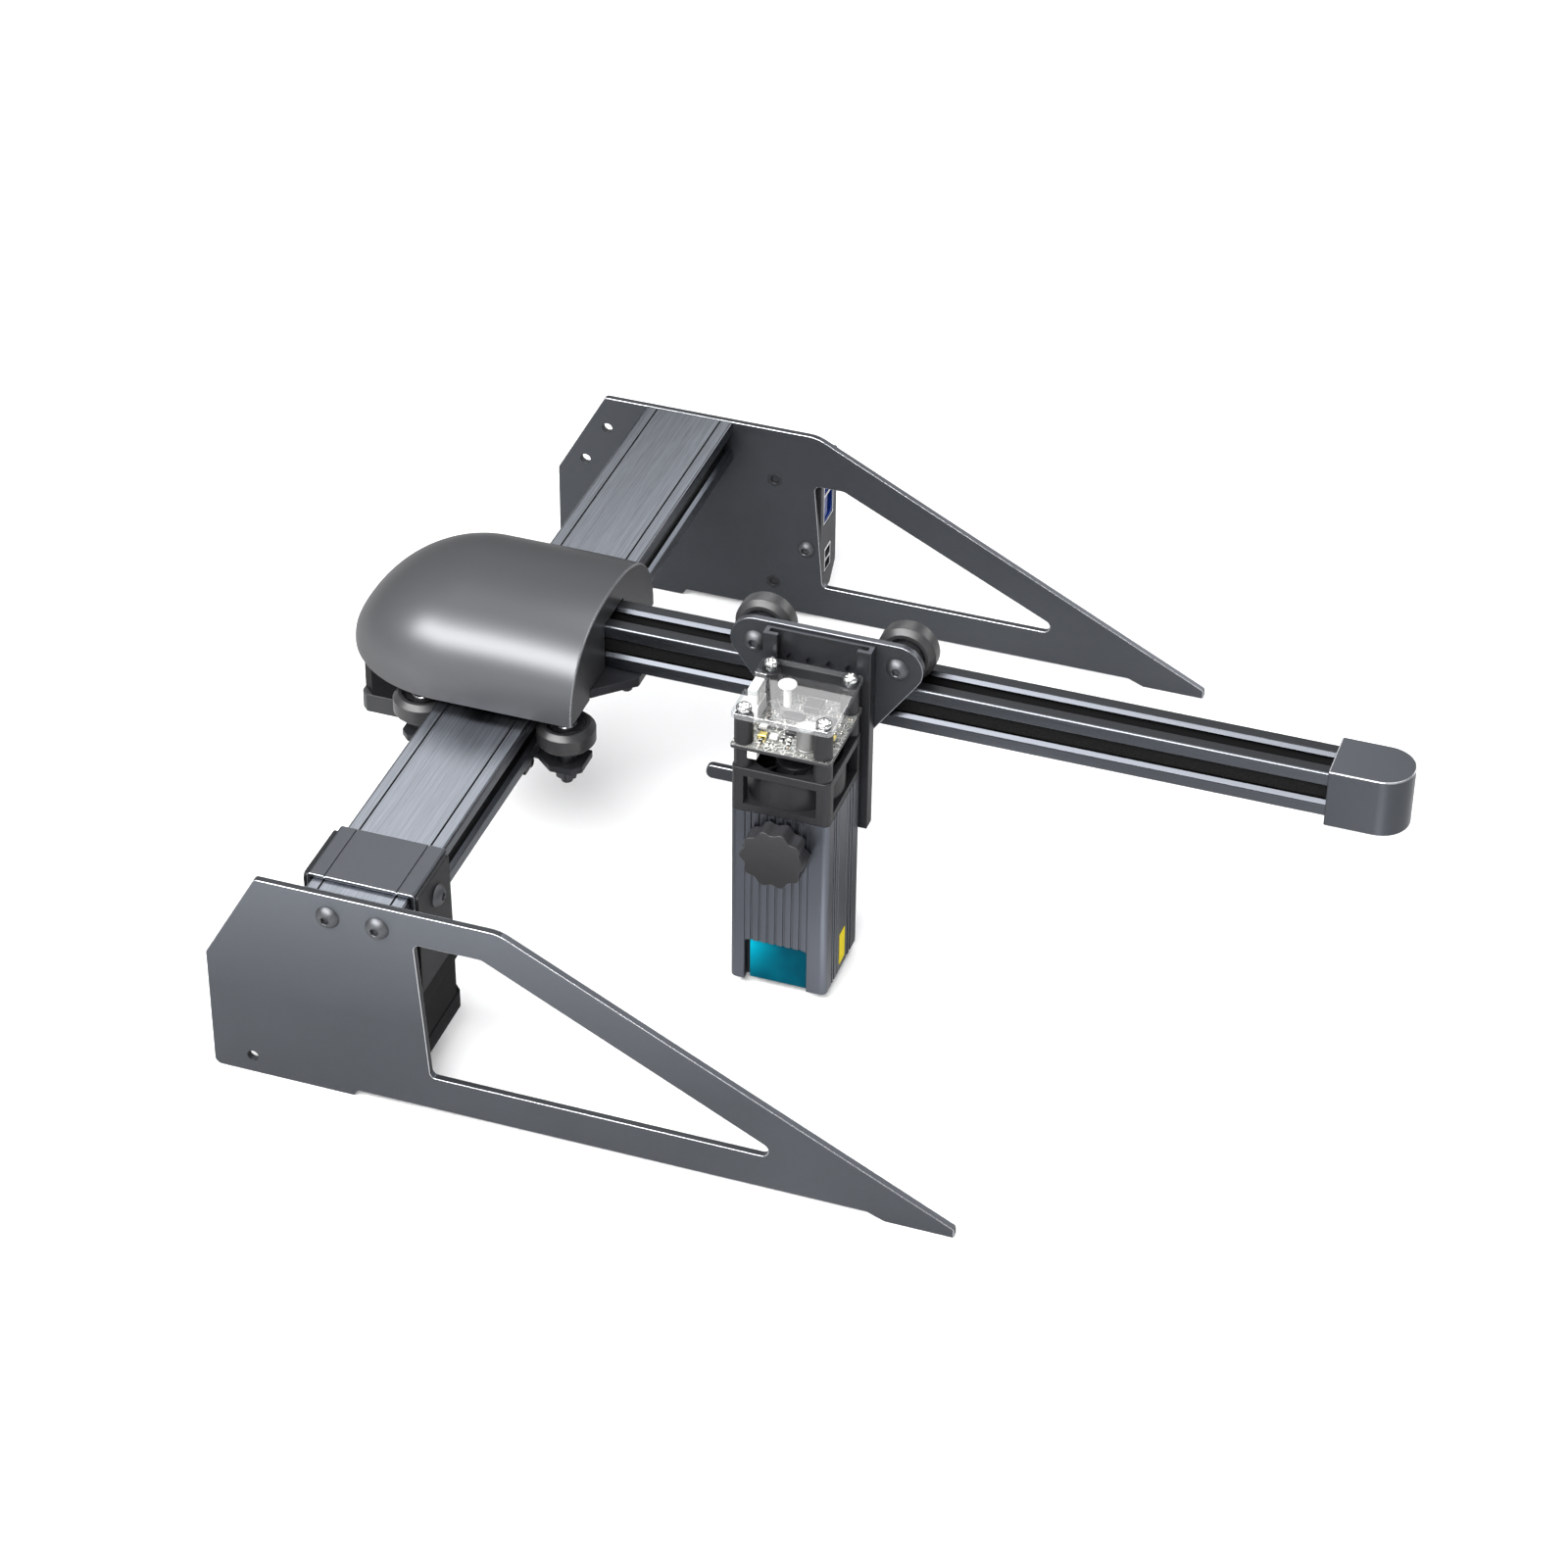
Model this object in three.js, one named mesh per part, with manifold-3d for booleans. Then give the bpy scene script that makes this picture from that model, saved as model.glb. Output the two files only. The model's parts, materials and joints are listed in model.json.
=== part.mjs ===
// Desktop laser cutter and engraver: a cantilever gantry on two side plates.
// Millimetres, +Z up, +X along the arm away from its motor, +Y from the near plate to the far plate.
// Parts are drawn in layout coordinates; the root group shifts them so that the origin is the
// centre of the bounding box, on the table. "Front" is -Y, "back" is +Y.
import * as THREE from 'three';
import { mergeVertices } from 'three/addons/utils/BufferGeometryUtils.js';
import Module from 'manifold-3d';

const manifold = await Module();
manifold.setup();

// ---------------------------------------------------------------- driving dimensions
const LAYOUT_CENTRE = [166.25, 194.375, 0];

const PLATE_THICK = 3;
const PLATE_TOP = 95;
const FAR_INNER_Y = 366.5;
const FAR_OUTER_Y = FAR_INNER_Y + PLATE_THICK;

const HALF_CELL = 10;                       // the extrusions are made of 20 x 20 cells
const RAIL = { x0: 0.5, x1: 40.5, z0: PLATE_TOP - 2 * HALF_CELL, z1: PLATE_TOP };
const RAIL_Z = RAIL.z0 + HALF_CELL;
const RAIL_BORES_X = [RAIL.x0 + HALF_CELL, RAIL.x1 - HALF_CELL];

const CARRIAGE_PLATE = { z0: 98.5, z1: 102.5 };
const ARM_Y = 173.75;
const ARM_Z = CARRIAGE_PLATE.z1 + HALF_CELL;
const ARM = {
  x0: -10, x1: 356,
  y0: ARM_Y - HALF_CELL, y1: ARM_Y + HALF_CELL,
  z0: ARM_Z - HALF_CELL, z1: ARM_Z + HALF_CELL,
};

// V-wheel; gap is the distance from its axis to the slotted face it runs on
const WHEEL = { radius: 12, width: 10.2, flat: 5.9, bevel: 2.15, bore: 2.7, gap: 10.5 };
const RAIL_WHEELS_X = [RAIL.x0 - WHEEL.gap, RAIL.x1 + WHEEL.gap];
const RAIL_WHEELS_Y = [ARM_Y - 33.5, ARM_Y + 33.5];
const BAR = { z0: 69.5, z1: 72.5 };         // lower wheel bars
const AXLE_RADIUS = 2.45;
const AXLE_HOLE = 2.75;
const SPACER_RADIUS = 4;
const SPACER_START = WHEEL.width / 2 + 0.25; // from the wheel's middle

const MOTOR_WIDTH = 42;
const MOTOR_HOLE = 11.5;
const BELT = { inner: 6.45, outer: 7.9, width: 5.6 }; // radii around a pulley, and width
const PULLEY = { radius: 6.3, flange: 8.6, flangeThick: 1 };
const X_PULLEY = [-22.5, ARM_Y];
const X_IDLER = [365, ARM_Y];
const Y_PULLEY = [22, 27];
const Y_IDLER = [22, 352];
const Y_BELT_Z = 64;

// ---------------------------------------------------------------- geometry helpers
const vector = ([x, y]) => new THREE.Vector2(x, y);

// Welds the vertices, drops collapsed triangles and turns the faces outward.
function clean(geometry) {
  const source = geometry.index ? geometry.toNonIndexed() : geometry;
  const bare = new THREE.BufferGeometry();
  const coordinates = source.attributes.position.array.slice();
  bare.setAttribute('position', new THREE.BufferAttribute(coordinates, 3));
  const welded = mergeVertices(bare, 1e-4);
  const old = welded.index.array;
  const points = [0, 1, 2].map(() => new THREE.Vector3());
  const kept = [];
  let volume = 0;
  for (let i = 0; i < old.length; i += 3) {
    const triangle = [old[i], old[i + 1], old[i + 2]];
    if (new Set(triangle).size < 3) continue;
    kept.push(...triangle);
    triangle.forEach((v, k) => points[k].fromBufferAttribute(welded.attributes.position, v));
    volume += points[0].dot(points[1].cross(points[2]));
  }
  if (volume < 0) {
    for (let i = 0; i < kept.length; i += 3) [kept[i], kept[i + 1]] = [kept[i + 1], kept[i]];
  }
  welded.setIndex(kept);
  return welded;
}

// Extrudes an outline; place turns (across, up, depth) into [x, y, z].
function prism(outline, depth, holes, place) {
  const shape = new THREE.Shape(outline.map(vector));
  shape.holes = holes.map(hole => new THREE.Path(hole.map(vector)));
  const solid = new THREE.ExtrudeGeometry(shape, { depth, bevelEnabled: false, steps: 1 });
  const p = solid.attributes.position;
  for (let i = 0; i < p.count; i++) p.setXYZ(i, ...place(p.getX(i), p.getY(i), p.getZ(i)));
  return clean(solid);
}
// prisms along X, Y and Z, with outlines in (y, z), (x, z) and (x, y)
const prismX = (outline, x0, x1, holes = []) =>
  prism(outline, x1 - x0, holes, (y, z, depth) => [x0 + depth, y, z]);
const prismY = (outline, y0, y1, holes = []) =>
  prism(outline, y1 - y0, holes, (x, z, depth) => [x, y1 - depth, z]);
const prismZ = (outline, z0, z1, holes = []) =>
  prism(outline, z1 - z0, holes, (x, y, depth) => [x, y, z0 + depth]);

function box(x0, x1, y0, y1, z0, z1) {
  const geometry = new THREE.BoxGeometry(x1 - x0, y1 - y0, z1 - z0);
  return clean(geometry.translate((x0 + x1) / 2, (y0 + y1) / 2, (z0 + z1) / 2));
}

// steps + 1 points on an arc
const arc = (x, y, radius, start, sweep, steps) => Array.from({ length: steps + 1 }, (_, k) => {
  const angle = start + sweep * k / steps;
  return [x + radius * Math.cos(angle), y + radius * Math.sin(angle)];
});
const circle = (x, y, radius, segments, start = 0) =>
  arc(x, y, radius, start, 2 * Math.PI, segments).slice(0, -1);
const rectangle = (x0, x1, y0, y1) => [[x0, y0], [x1, y0], [x1, y1], [x0, y1]];

// Rounds the corners of a polygon given as [x, y, radius]; no radius leaves a corner sharp.
function rounded(corners, steps = 3) {
  return corners.flatMap(([x, y, radius = 0], i) => {
    if (!radius) return [[x, y]];
    const corner = vector([x, y]);
    const back = vector(corners.at(i - 1)).sub(corner).normalize();
    const ahead = vector(corners[(i + 1) % corners.length]).sub(corner).normalize();
    const half = back.angleTo(ahead) / 2;
    const middle = back.clone().add(ahead).normalize();
    const centre = corner.clone().addScaledVector(middle, radius / Math.sin(half));
    const [start, end] = [back, ahead].map(direction => {
      const tangent = corner.clone().addScaledVector(direction, radius / Math.tan(half));
      return Math.atan2(tangent.y - centre.y, tangent.x - centre.x);
    });
    let sweep = end - start;
    if (sweep > Math.PI) sweep -= 2 * Math.PI;
    if (sweep < -Math.PI) sweep += 2 * Math.PI;
    return arc(centre.x, centre.y, radius, start, sweep, steps);
  });
}
const roundedRect = (x0, x1, y0, y1, radius, steps) =>
  rounded(rectangle(x0, x1, y0, y1).map(corner => [...corner, radius]), steps);

// Revolves [radius, z] points about Z; a profile ends on the axis or closes on itself.
const lathe = (profile, segments) =>
  clean(new THREE.LatheGeometry(profile.map(vector), segments).rotateX(Math.PI / 2));
const cylinder = (x, y, radius, z0, z1, segments) =>
  lathe([[0, z0], [radius, z0], [radius, z1], [0, z1]], segments).translate(x, y, 0);

const toManifold = geometry => new manifold.Manifold(new manifold.Mesh({
  numProp: 3,
  vertProperties: new Float32Array(geometry.attributes.position.array),
  triVerts: new Uint32Array(geometry.index.array),
}));
function fromManifold(solid) {
  const mesh = solid.getMesh();
  const geometry = new THREE.BufferGeometry();
  const coordinates = new Float32Array(mesh.vertProperties);
  geometry.setAttribute('position', new THREE.BufferAttribute(coordinates, 3));
  geometry.setIndex(Array.from(mesh.triVerts));
  return geometry;
}
const join = (...parts) => fromManifold(parts.map(toManifold).reduce((a, b) => a.add(b)));
const cut = (part, ...tools) =>
  fromManifold(tools.map(toManifold).reduce((a, b) => a.subtract(b), toManifold(part)));

// ---------------------------------------------------------------- materials
const finish = settings => () => new THREE.MeshStandardMaterial(settings);
const anodised = finish({ color: 0x5b6068, roughness: 0.42, metalness: 0.75 });
const railMetal = finish({ color: 0x8b909b, roughness: 0.38, metalness: 0.85 });
const darkMetal = finish({ color: 0x3d3f45, roughness: 0.5, metalness: 0.6 });
const coverGrey = finish({ color: 0x6e6f73, roughness: 0.42, metalness: 0.35 });
const black = finish({ color: 0x202124, roughness: 0.55, metalness: 0.1 });
const wheelPlastic = finish({ color: 0x2b2b2d, roughness: 0.5, metalness: 0 });
const steel = finish({ color: 0x9a9ca0, roughness: 0.3, metalness: 0.95 });
const boltSteel = finish({ color: 0x2c2d30, roughness: 0.35, metalness: 0.8 });
const beltRubber = finish({ color: 0x33302e, roughness: 0.85, metalness: 0 });
const bodyMetal = finish({ color: 0x747d8c, roughness: 0.4, metalness: 0.75 });
const board = finish({ color: 0x8d918c, roughness: 0.45, metalness: 0.2 });
const motorMetal = finish({ color: 0x2f3033, roughness: 0.5, metalness: 0.5 });
const teal = finish({
  color: 0x00a8c6, roughness: 0.2, metalness: 0, transparent: true, opacity: 0.8,
});
const clear = finish({
  color: 0xf2f4f5, roughness: 0.08, metalness: 0, transparent: true, opacity: 0.35,
});

// ---------------------------------------------------------------- scene graph
const group = new THREE.Group();
group.name = 'desktop_laser_cutter';
group.position.set(...LAYOUT_CENTRE.map(value => -value));

function subgroup(parent) {
  const child = new THREE.Group();
  parent.add(child);
  return child;
}
const frame = subgroup(group);
const carriage = subgroup(group);
const laserCarriage = subgroup(carriage);
const laserModule = subgroup(laserCarriage);

// rotations that point a part's local +Z along an axis
const TO_FRONT = [Math.PI / 2, 0, 0];
const TO_BACK = [-Math.PI / 2, 0, 0];
const TO_RIGHT = [0, Math.PI / 2, 0];

function add(parent, name, geometry, material, position = [0, 0, 0], rotation = [0, 0, 0]) {
  const mesh = new THREE.Mesh(geometry, material());
  mesh.name = name;
  mesh.position.set(...position);
  mesh.rotation.set(...rotation);
  parent.add(mesh);
}

// ---------------------------------------------------------------- side plates
// (x, z, corner radius): rear foot, raised middle, front foot with a slim nose, slanted top edge
const SIDE_OUTLINE = rounded([
  [-41.5, 0, 3], [17, 0, 1], [19, 2.75, 1], [223.5, 2.75, 2], [230.5, 0, 1],
  [257.25, 0, 0.8], [257.25, 4, 1.2], [79, PLATE_TOP, 16], [-19, PLATE_TOP, 2], [-41.5, 55, 2.5],
], 4);
const NEAR_WINDOW = rounded([[44.75, 81, 2.5], [72, 81, 4], [194, 18, 3], [49.25, 18, 2.5]], 4);
const FAR_WINDOW = rounded([
  [78.25, 70.25, 2.5], [91.75, 70.25, 4], [197, 18.25, 3], [82.75, 18.25, 2.5],
], 4);
const CONTROLLER_SCREW = { x: 75, z: 37, hole: 2.2 };

const railScrewHoles = RAIL_BORES_X.map(x => circle(x, RAIL_Z, 2.6, 10));
const hexHole = (x, z) => circle(x, z, 3.3, 6, Math.PI / 6);
const controllerHole = circle(CONTROLLER_SCREW.x, CONTROLLER_SCREW.z, CONTROLLER_SCREW.hole, 10);
add(frame, 'near_side_plate', prismY(SIDE_OUTLINE, 0, PLATE_THICK, [
  NEAR_WINDOW, ...railScrewHoles, circle(-25, 8, 2.25, 10),
]), anodised);
add(frame, 'far_side_plate', prismY(SIDE_OUTLINE, FAR_INNER_Y, FAR_OUTER_Y, [
  FAR_WINDOW, ...railScrewHoles, circle(-18, 79.75, 2.25, 10), circle(-28.5, 61.75, 2.25, 10),
  hexHole(60, 69.75), hexHole(60, 16.5), controllerHole,
]), anodised);

// ---------------------------------------------------------------- extrusions
// one V-slot, as (along the face, depth)
const SLOT = [
  [-4.6, 0], [-3.1, 1.5], [-3.1, 1.8], [-5.5, 1.8], [-5.5, 3.6], [-3, 6.1],
  [3, 6.1], [5.5, 3.6], [5.5, 1.8], [3.1, 1.8], [3.1, 1.5], [4.6, 0],
];
const CHAMFER = 0.5;
const RAIL_TOP_CHAMFER = 1;
const TOP_GROOVES = { x: [5.9, 35.1], half: 0.25, depth: 0.6 }; // fine lines along the rail

// The slot runs along (dirX, dirY); its depth lies to the left of that direction.
const slotAt = (x, y, dirX, dirY) =>
  SLOT.map(([along, depth]) => [x + along * dirX - depth * dirY, y + along * dirY + depth * dirX]);

function yRail() {
  const { x0, x1, z0, z1 } = RAIL;
  const { half, depth } = TOP_GROOVES;
  const grooves = [...TOP_GROOVES.x].reverse().flatMap(x => [
    [x + half, z1], [x + half, z1 - depth], [x - half, z1 - depth], [x - half, z1],
  ]);
  const profile = [
    [x0 + CHAMFER, z0], ...RAIL_BORES_X.flatMap(x => slotAt(x, z0, 1, 0)),
    [x1 - CHAMFER, z0], [x1, z0 + CHAMFER], ...slotAt(x1, RAIL_Z, 0, 1),
    [x1, z1 - RAIL_TOP_CHAMFER], [x1 - RAIL_TOP_CHAMFER, z1], ...grooves,
    [x0 + RAIL_TOP_CHAMFER, z1], [x0, z1 - RAIL_TOP_CHAMFER], ...slotAt(x0, RAIL_Z, 0, -1),
    [x0, z0 + CHAMFER],
  ];
  const core = rectangle(16.5, 24.5, 78, 92);
  const bores = RAIL_BORES_X.map(x => circle(x, RAIL_Z, 2.6, 12));
  return prismY(profile, PLATE_THICK, FAR_INNER_Y, [core, ...bores]);
}
add(frame, 'y_rail', yRail(), railMetal);

function xArm() {
  const { x0, x1, y0, y1, z0, z1 } = ARM;
  const profile = [
    [y0 + CHAMFER, z0], ...slotAt(ARM_Y, z0, 1, 0), [y1 - CHAMFER, z0],
    [y1, z0 + CHAMFER], ...slotAt(y1, ARM_Z, 0, 1), [y1, z1 - CHAMFER],
    [y1 - CHAMFER, z1], ...slotAt(ARM_Y, z1, -1, 0), [y0 + CHAMFER, z1],
    [y0, z1 - CHAMFER], ...slotAt(y0, ARM_Z, 0, -1), [y0, z0 + CHAMFER],
  ];
  return prismX(profile, x0, x1, [circle(ARM_Y, ARM_Z, 2.1, 12)]);
}
add(carriage, 'x_arm', xArm(), anodised);

// ---------------------------------------------------------------- button-head screws
const SLEEVE_WALL = 1.5;
const SLEEVE_PLAY = 0.25;
const SLEEVE_GROWTH = SLEEVE_WALL + SLEEVE_PLAY; // from the rail to the outside of the sleeve
const BRACKET = {
  x0: RAIL.x0 - SLEEVE_GROWTH, x1: RAIL.x1 + SLEEVE_GROWTH,   // inner faces of its side panels
  y0: 9, y1: 41, z0: 50.5, z1: 53, panel: 1.5,
};
const SLEEVE_SCREW_Y = 26.25;

const LARGE_SCREW = { shank: 2.4, head: 4.75, height: 2.75 };
const SMALL_SCREW = { shank: 1.9, head: 4, height: 2.4 };

// The head rises towards +Z from z = 0 and has a hexagonal socket.
function buttonScrew(length, { shank, head, height }) {
  const body = lathe([
    [0, -length], [shank, -length], [shank, 0], [head, 0], [head * 0.98, height * 0.3],
    [head * 0.84, height * 0.7], [head * 0.55, height], [0, height],
  ], 12);
  return cut(body, prismZ(circle(0, 0, 1.75, 6), height - 1.5, height + 1));
}
const [leftX, rightX] = RAIL_BORES_X;
const SCREWS = [ // name, length, size, position under the head, rotation
  ['near_plate_screw_left', 16, LARGE_SCREW, [leftX, 0, RAIL_Z], TO_FRONT],
  ['near_plate_screw_right', 16, LARGE_SCREW, [rightX, 0, RAIL_Z], TO_FRONT],
  ['far_plate_screw_left', 16, LARGE_SCREW, [leftX, FAR_OUTER_Y, RAIL_Z], TO_BACK],
  ['far_plate_screw_right', 16, LARGE_SCREW, [rightX, FAR_OUTER_Y, RAIL_Z], TO_BACK],
  ['controller_screw', 9.5, SMALL_SCREW,
    [CONTROLLER_SCREW.x, FAR_INNER_Y, CONTROLLER_SCREW.z], TO_FRONT],
  ['sleeve_screw', 5, LARGE_SCREW,
    [BRACKET.x1 + BRACKET.panel, SLEEVE_SCREW_Y, RAIL_Z], TO_RIGHT],
];
for (const [name, length, size, position, rotation] of SCREWS) {
  add(frame, name, buttonScrew(length, size), boltSteel, position, rotation);
}

// ---------------------------------------------------------------- rail end sleeve and bracket
const sleeveScrewHole = cylinder(0, 0, 2.7, 38, 45, 14)
  .rotateY(Math.PI / 2)
  .translate(0, SLEEVE_SCREW_Y, RAIL_Z);
const aroundRail = growth =>
  [RAIL.x0 - growth, RAIL.x1 + growth, RAIL.z0 - growth, RAIL.z1 + growth];

function railEndSleeve() {
  const outer = roundedRect(...aroundRail(SLEEVE_GROWTH), 1.2);
  const tube = prismY(outer, 8.75, 40, [rectangle(...aroundRail(SLEEVE_PLAY))]);
  const { half } = TOP_GROOVES;
  const grooves = TOP_GROOVES.x.map(x => box(x - half, x + half, 8, 41, 96.35, 97.5));
  return cut(tube, ...grooves, sleeveScrewHole);
}
add(frame, 'rail_end_sleeve', railEndSleeve(), darkMetal);

// U-shaped: two side panels and a base that carries the motor
function motorBracket() {
  const { x0, x1, y0, y1, z0, z1, panel } = BRACKET;
  const side = [[y0, 96], [y0, z0], [y1, z0], [39.75, 62], [38.5, 96]];
  const bracket = join(
    prismX(side, x1, x1 + panel),
    prismX(side, x0 - panel, x0),
    box(x0 - panel, x1 + panel, y0, y1, z0, z1),
  );
  return cut(bracket, sleeveScrewHole, cylinder(...Y_PULLEY, MOTOR_HOLE, 49, 55, 24));
}
add(frame, 'motor_bracket', motorBracket(), darkMetal);

// ---------------------------------------------------------------- motors, pulleys and belts
// square with cut corners
function octagon(x, y, width, corner) {
  const far = width / 2;
  const near = far - corner;
  return [
    [-near, -far], [near, -far], [far, -near], [far, near],
    [near, far], [-near, far], [-far, near], [-far, -near],
  ].map(([dx, dy]) => [x + dx, y + dy]);
}

// end caps, core with larger cut corners, and a boss on top
function stepper([x, y], z0, z1) {
  const cap = octagon(x, y, MOTOR_WIDTH, 2.5);
  return join(
    prismZ(cap, z0, z0 + 8.5),
    prismZ(octagon(x, y, MOTOR_WIDTH, 5), z0 + 8, z1 - 8),
    prismZ(cap, z1 - 8.5, z1),
    cylinder(x, y, 11, z1 - 1, z1 + 2, 24),
  );
}

const PULLEY_HALF = BELT.width / 2 + 0.3;   // half the gap between the flanges
const FLANGE_END = PULLEY_HALF + PULLEY.flangeThick;

const pulleyRim = z => [
  [PULLEY.flange, z - FLANGE_END], [PULLEY.flange, z - PULLEY_HALF],
  [PULLEY.radius, z - PULLEY_HALF], [PULLEY.radius, z + PULLEY_HALF],
  [PULLEY.flange, z + PULLEY_HALF], [PULLEY.flange, z + FLANGE_END],
];
// drive pulley with its hub and the motor shaft
function drivePulley({ z, motorTop, hub, shaftTop }) {
  const shaft = 2.5;
  const shaftStart = motorTop + 2.25;
  return lathe([
    [0, shaftStart], [shaft, shaftStart], [shaft, hub], [5.5, hub], [5.5, z - FLANGE_END],
    ...pulleyRim(z), [shaft, z + FLANGE_END], [shaft, shaftTop], [0, shaftTop],
  ], 16);
}
const idlerPulley = z => lathe([
  [2.7, z - FLANGE_END], ...pulleyRim(z), [2.7, z + FLANGE_END], [2.7, z - FLANGE_END],
], 16);

// closed belt around two equal pulleys
function belt(from, to, z) {
  const angle = Math.atan2(to[1] - from[1], to[0] - from[0]);
  const loop = radius => [
    ...arc(...to, radius, angle - Math.PI / 2, Math.PI, 12),
    ...arc(...from, radius, angle + Math.PI / 2, Math.PI, 12),
  ];
  const half = BELT.width / 2;
  return prismZ(loop(BELT.outer), z - half, z + half, [loop(BELT.inner + 0.15)]);
}

// plate against the underside of the rail, with the idler's pin and its retaining head
function yIdlerBracket() {
  const pin = lathe([[0, 57.5], [4.25, 57.5], [4.25, 59.75], [2.5, 59.75], [2.5, 74], [0, 74]], 18);
  const plate = prismZ(roundedRect(7, 37, 343, 366.25, 2), RAIL.z0 - 2, RAIL.z0);
  return join(plate, pin.translate(...Y_IDLER, 0));
}

add(frame, 'y_motor', stepper(Y_PULLEY, 16.5, BRACKET.z0), motorMetal);
add(frame, 'y_belt', belt(Y_PULLEY, Y_IDLER, Y_BELT_Z), beltRubber);
const yDrive = drivePulley({ z: Y_BELT_Z, motorTop: BRACKET.z0, hub: 55, shaftTop: 70 });
add(frame, 'y_drive_pulley', yDrive, steel, [...Y_PULLEY, 0]);
add(frame, 'y_idler_pulley', idlerPulley(Y_BELT_Z), steel, [...Y_IDLER, 0]);
add(frame, 'y_idler_bracket', yIdlerBracket(), darkMetal);

// ---------------------------------------------------------------- controller
// box on the outside of the far plate, open towards the plate; ports on its right-hand end
function controllerBox() {
  const outline = rounded([
    [FAR_OUTER_Y, 10], [384, 10, 1], [391.5, 18, 1], [391.5, 78, 2], [FAR_OUTER_Y, 78],
  ], 2);
  const openY = FAR_OUTER_Y - 1;
  const inside = [[openY, 12], [383, 12], [389.5, 18.75], [389.5, 76], [openY, 76]];
  const usbOpening = box(78, 81, 373.5, 387, 45.25, 75.25);
  const jackOpening = box(78, 81, 375.5, 384.5, 19.75, 32.25);
  const shell = cut(prismX(outline, -1.5, 80.5), prismX(inside, 0.5, 78.5), usbOpening, jackOpening);
  const bossOutline = circle(CONTROLLER_SCREW.x, CONTROLLER_SCREW.z, 3.2, 12);
  return join(shell, prismY(bossOutline, 371, 389.75, [controllerHole]));
}
add(frame, 'controller_box', controllerBox(), darkMetal);
add(frame, 'controller_board', box(3, 70.75, 371.5, 373.1, 13.5, 75), board);
add(frame, 'usb_port', cut(
  box(64, 80.5, 373.75, 386.75, 45.5, 75),
  box(70, 81, 375, 385.5, 47, 59.25),
  box(70, 81, 375, 385.5, 61, 73.5),
), steel);
add(frame, 'power_jack', cut(
  box(66, 80.5, 375.75, 384.25, 20, 32),
  box(72, 81, 377.25, 382.75, 21.5, 30.5),
), steel);

// ---------------------------------------------------------------- carriage cover
// Half shell of superellipse sections along X: a round left end, then a straight part.
const COVER = {
  roundX: 1.5, roundLength: 50,             // the round end starts at roundX and runs to -X
  endX: 59, midY: 172.25, halfWidth: 46.5,
  roundHeight: 37, endHeight: 36, wall: 2,
  sectionPower: 2.3,                        // squareness of a section
  domePower: 1.27,                          // how fast the height falls over the round end
  slopePower: 3.9,                          // how late the height falls along the straight part
};
const COVER_STEPS = { round: 11, straight: 3, section: 14 };

// Solid inset by a distance; an inset solid also runs below the rim, to cut the bottom open.
function coverSolid(inset) {
  const { round, straight, section: last } = COVER_STEPS;
  const { roundX, midY } = COVER;
  const rim = CARRIAGE_PLATE.z0;
  const bottom = rim - 4;
  const tipX = roundX - (COVER.roundLength - inset);

  function section(x, spread) {             // spread: share of the full width
    const along = Math.max(0, (x - roundX) / (COVER.endX - roundX));
    const drop = (COVER.endHeight - COVER.roundHeight) * along ** COVER.slopePower;
    const height = (COVER.roundHeight + drop - inset) * spread ** COVER.domePower;
    const width = (COVER.halfWidth - inset) * spread;
    const power = 2 / COVER.sectionPower;
    const points = [];
    for (let k = 0; k <= last; k++) {
      const cos = Math.cos(Math.PI * k / last);
      const sin = Math.sin(Math.PI * k / last);
      const y = midY + width * Math.sign(cos) * Math.abs(cos) ** power;
      points.push([x, y, rim + height * sin ** power]);
    }
    if (inset) points.push([x, midY - width, bottom], [x, midY + width, bottom]);
    return points;
  }

  const sections = [];
  for (let i = 1; i <= round; i++) {
    const angle = Math.PI / 2 * i / round;
    sections.push(section(roundX - (roundX - tipX) * Math.cos(angle), Math.sin(angle)));
  }
  for (let i = 1; i <= straight; i++) {
    sections.push(section(roundX + (COVER.endX - inset - roundX) * i / straight, 1));
  }
  const size = sections[0].length;
  const tip = sections.length * size;
  const points = [...sections.flat(), [tipX, midY, rim]];
  if (inset) points.push([tipX, midY, bottom]);

  const faces = [];
  for (let i = 0; i + 1 < sections.length; i++) {
    for (let k = 0; k < size; k++) {
      const a = i * size + k;
      const b = i * size + (k + 1) % size;
      faces.push(a, a + size, b, b, a + size, b + size);
    }
  }
  const end = tip - size;                   // flat end, fanned from its first point
  for (let k = 1; k + 1 < size; k++) faces.push(end, end + k + 1, end + k);
  for (let k = 0; k < last; k++) faces.push(tip, k, k + 1);
  if (inset) {                              // walls below the rim and the bottom
    faces.push(
      tip, last, last + 1, tip, last + 1, tip + 1, tip + 1, last + 1, last + 2,
      tip, tip + 1, last + 2, tip, last + 2, 0,
    );
  } else {
    faces.push(tip, last, 0);
  }
  const geometry = new THREE.BufferGeometry();
  geometry.setAttribute('position', new THREE.Float32BufferAttribute(points.flat(), 3));
  geometry.setIndex(faces);
  return clean(geometry);
}
add(carriage, 'carriage_cover', cut(
  coverSolid(0),
  coverSolid(COVER.wall),
  box(56, 60, ARM.y0 - 0.5, ARM.y1 + 0.5, 90, ARM.z1 + 0.5),  // opening for the arm
  box(56, 60, 146, 201, 90, CARRIAGE_PLATE.z1 + 0.5),         // opening for the plate's tab
), coverGrey);

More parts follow.
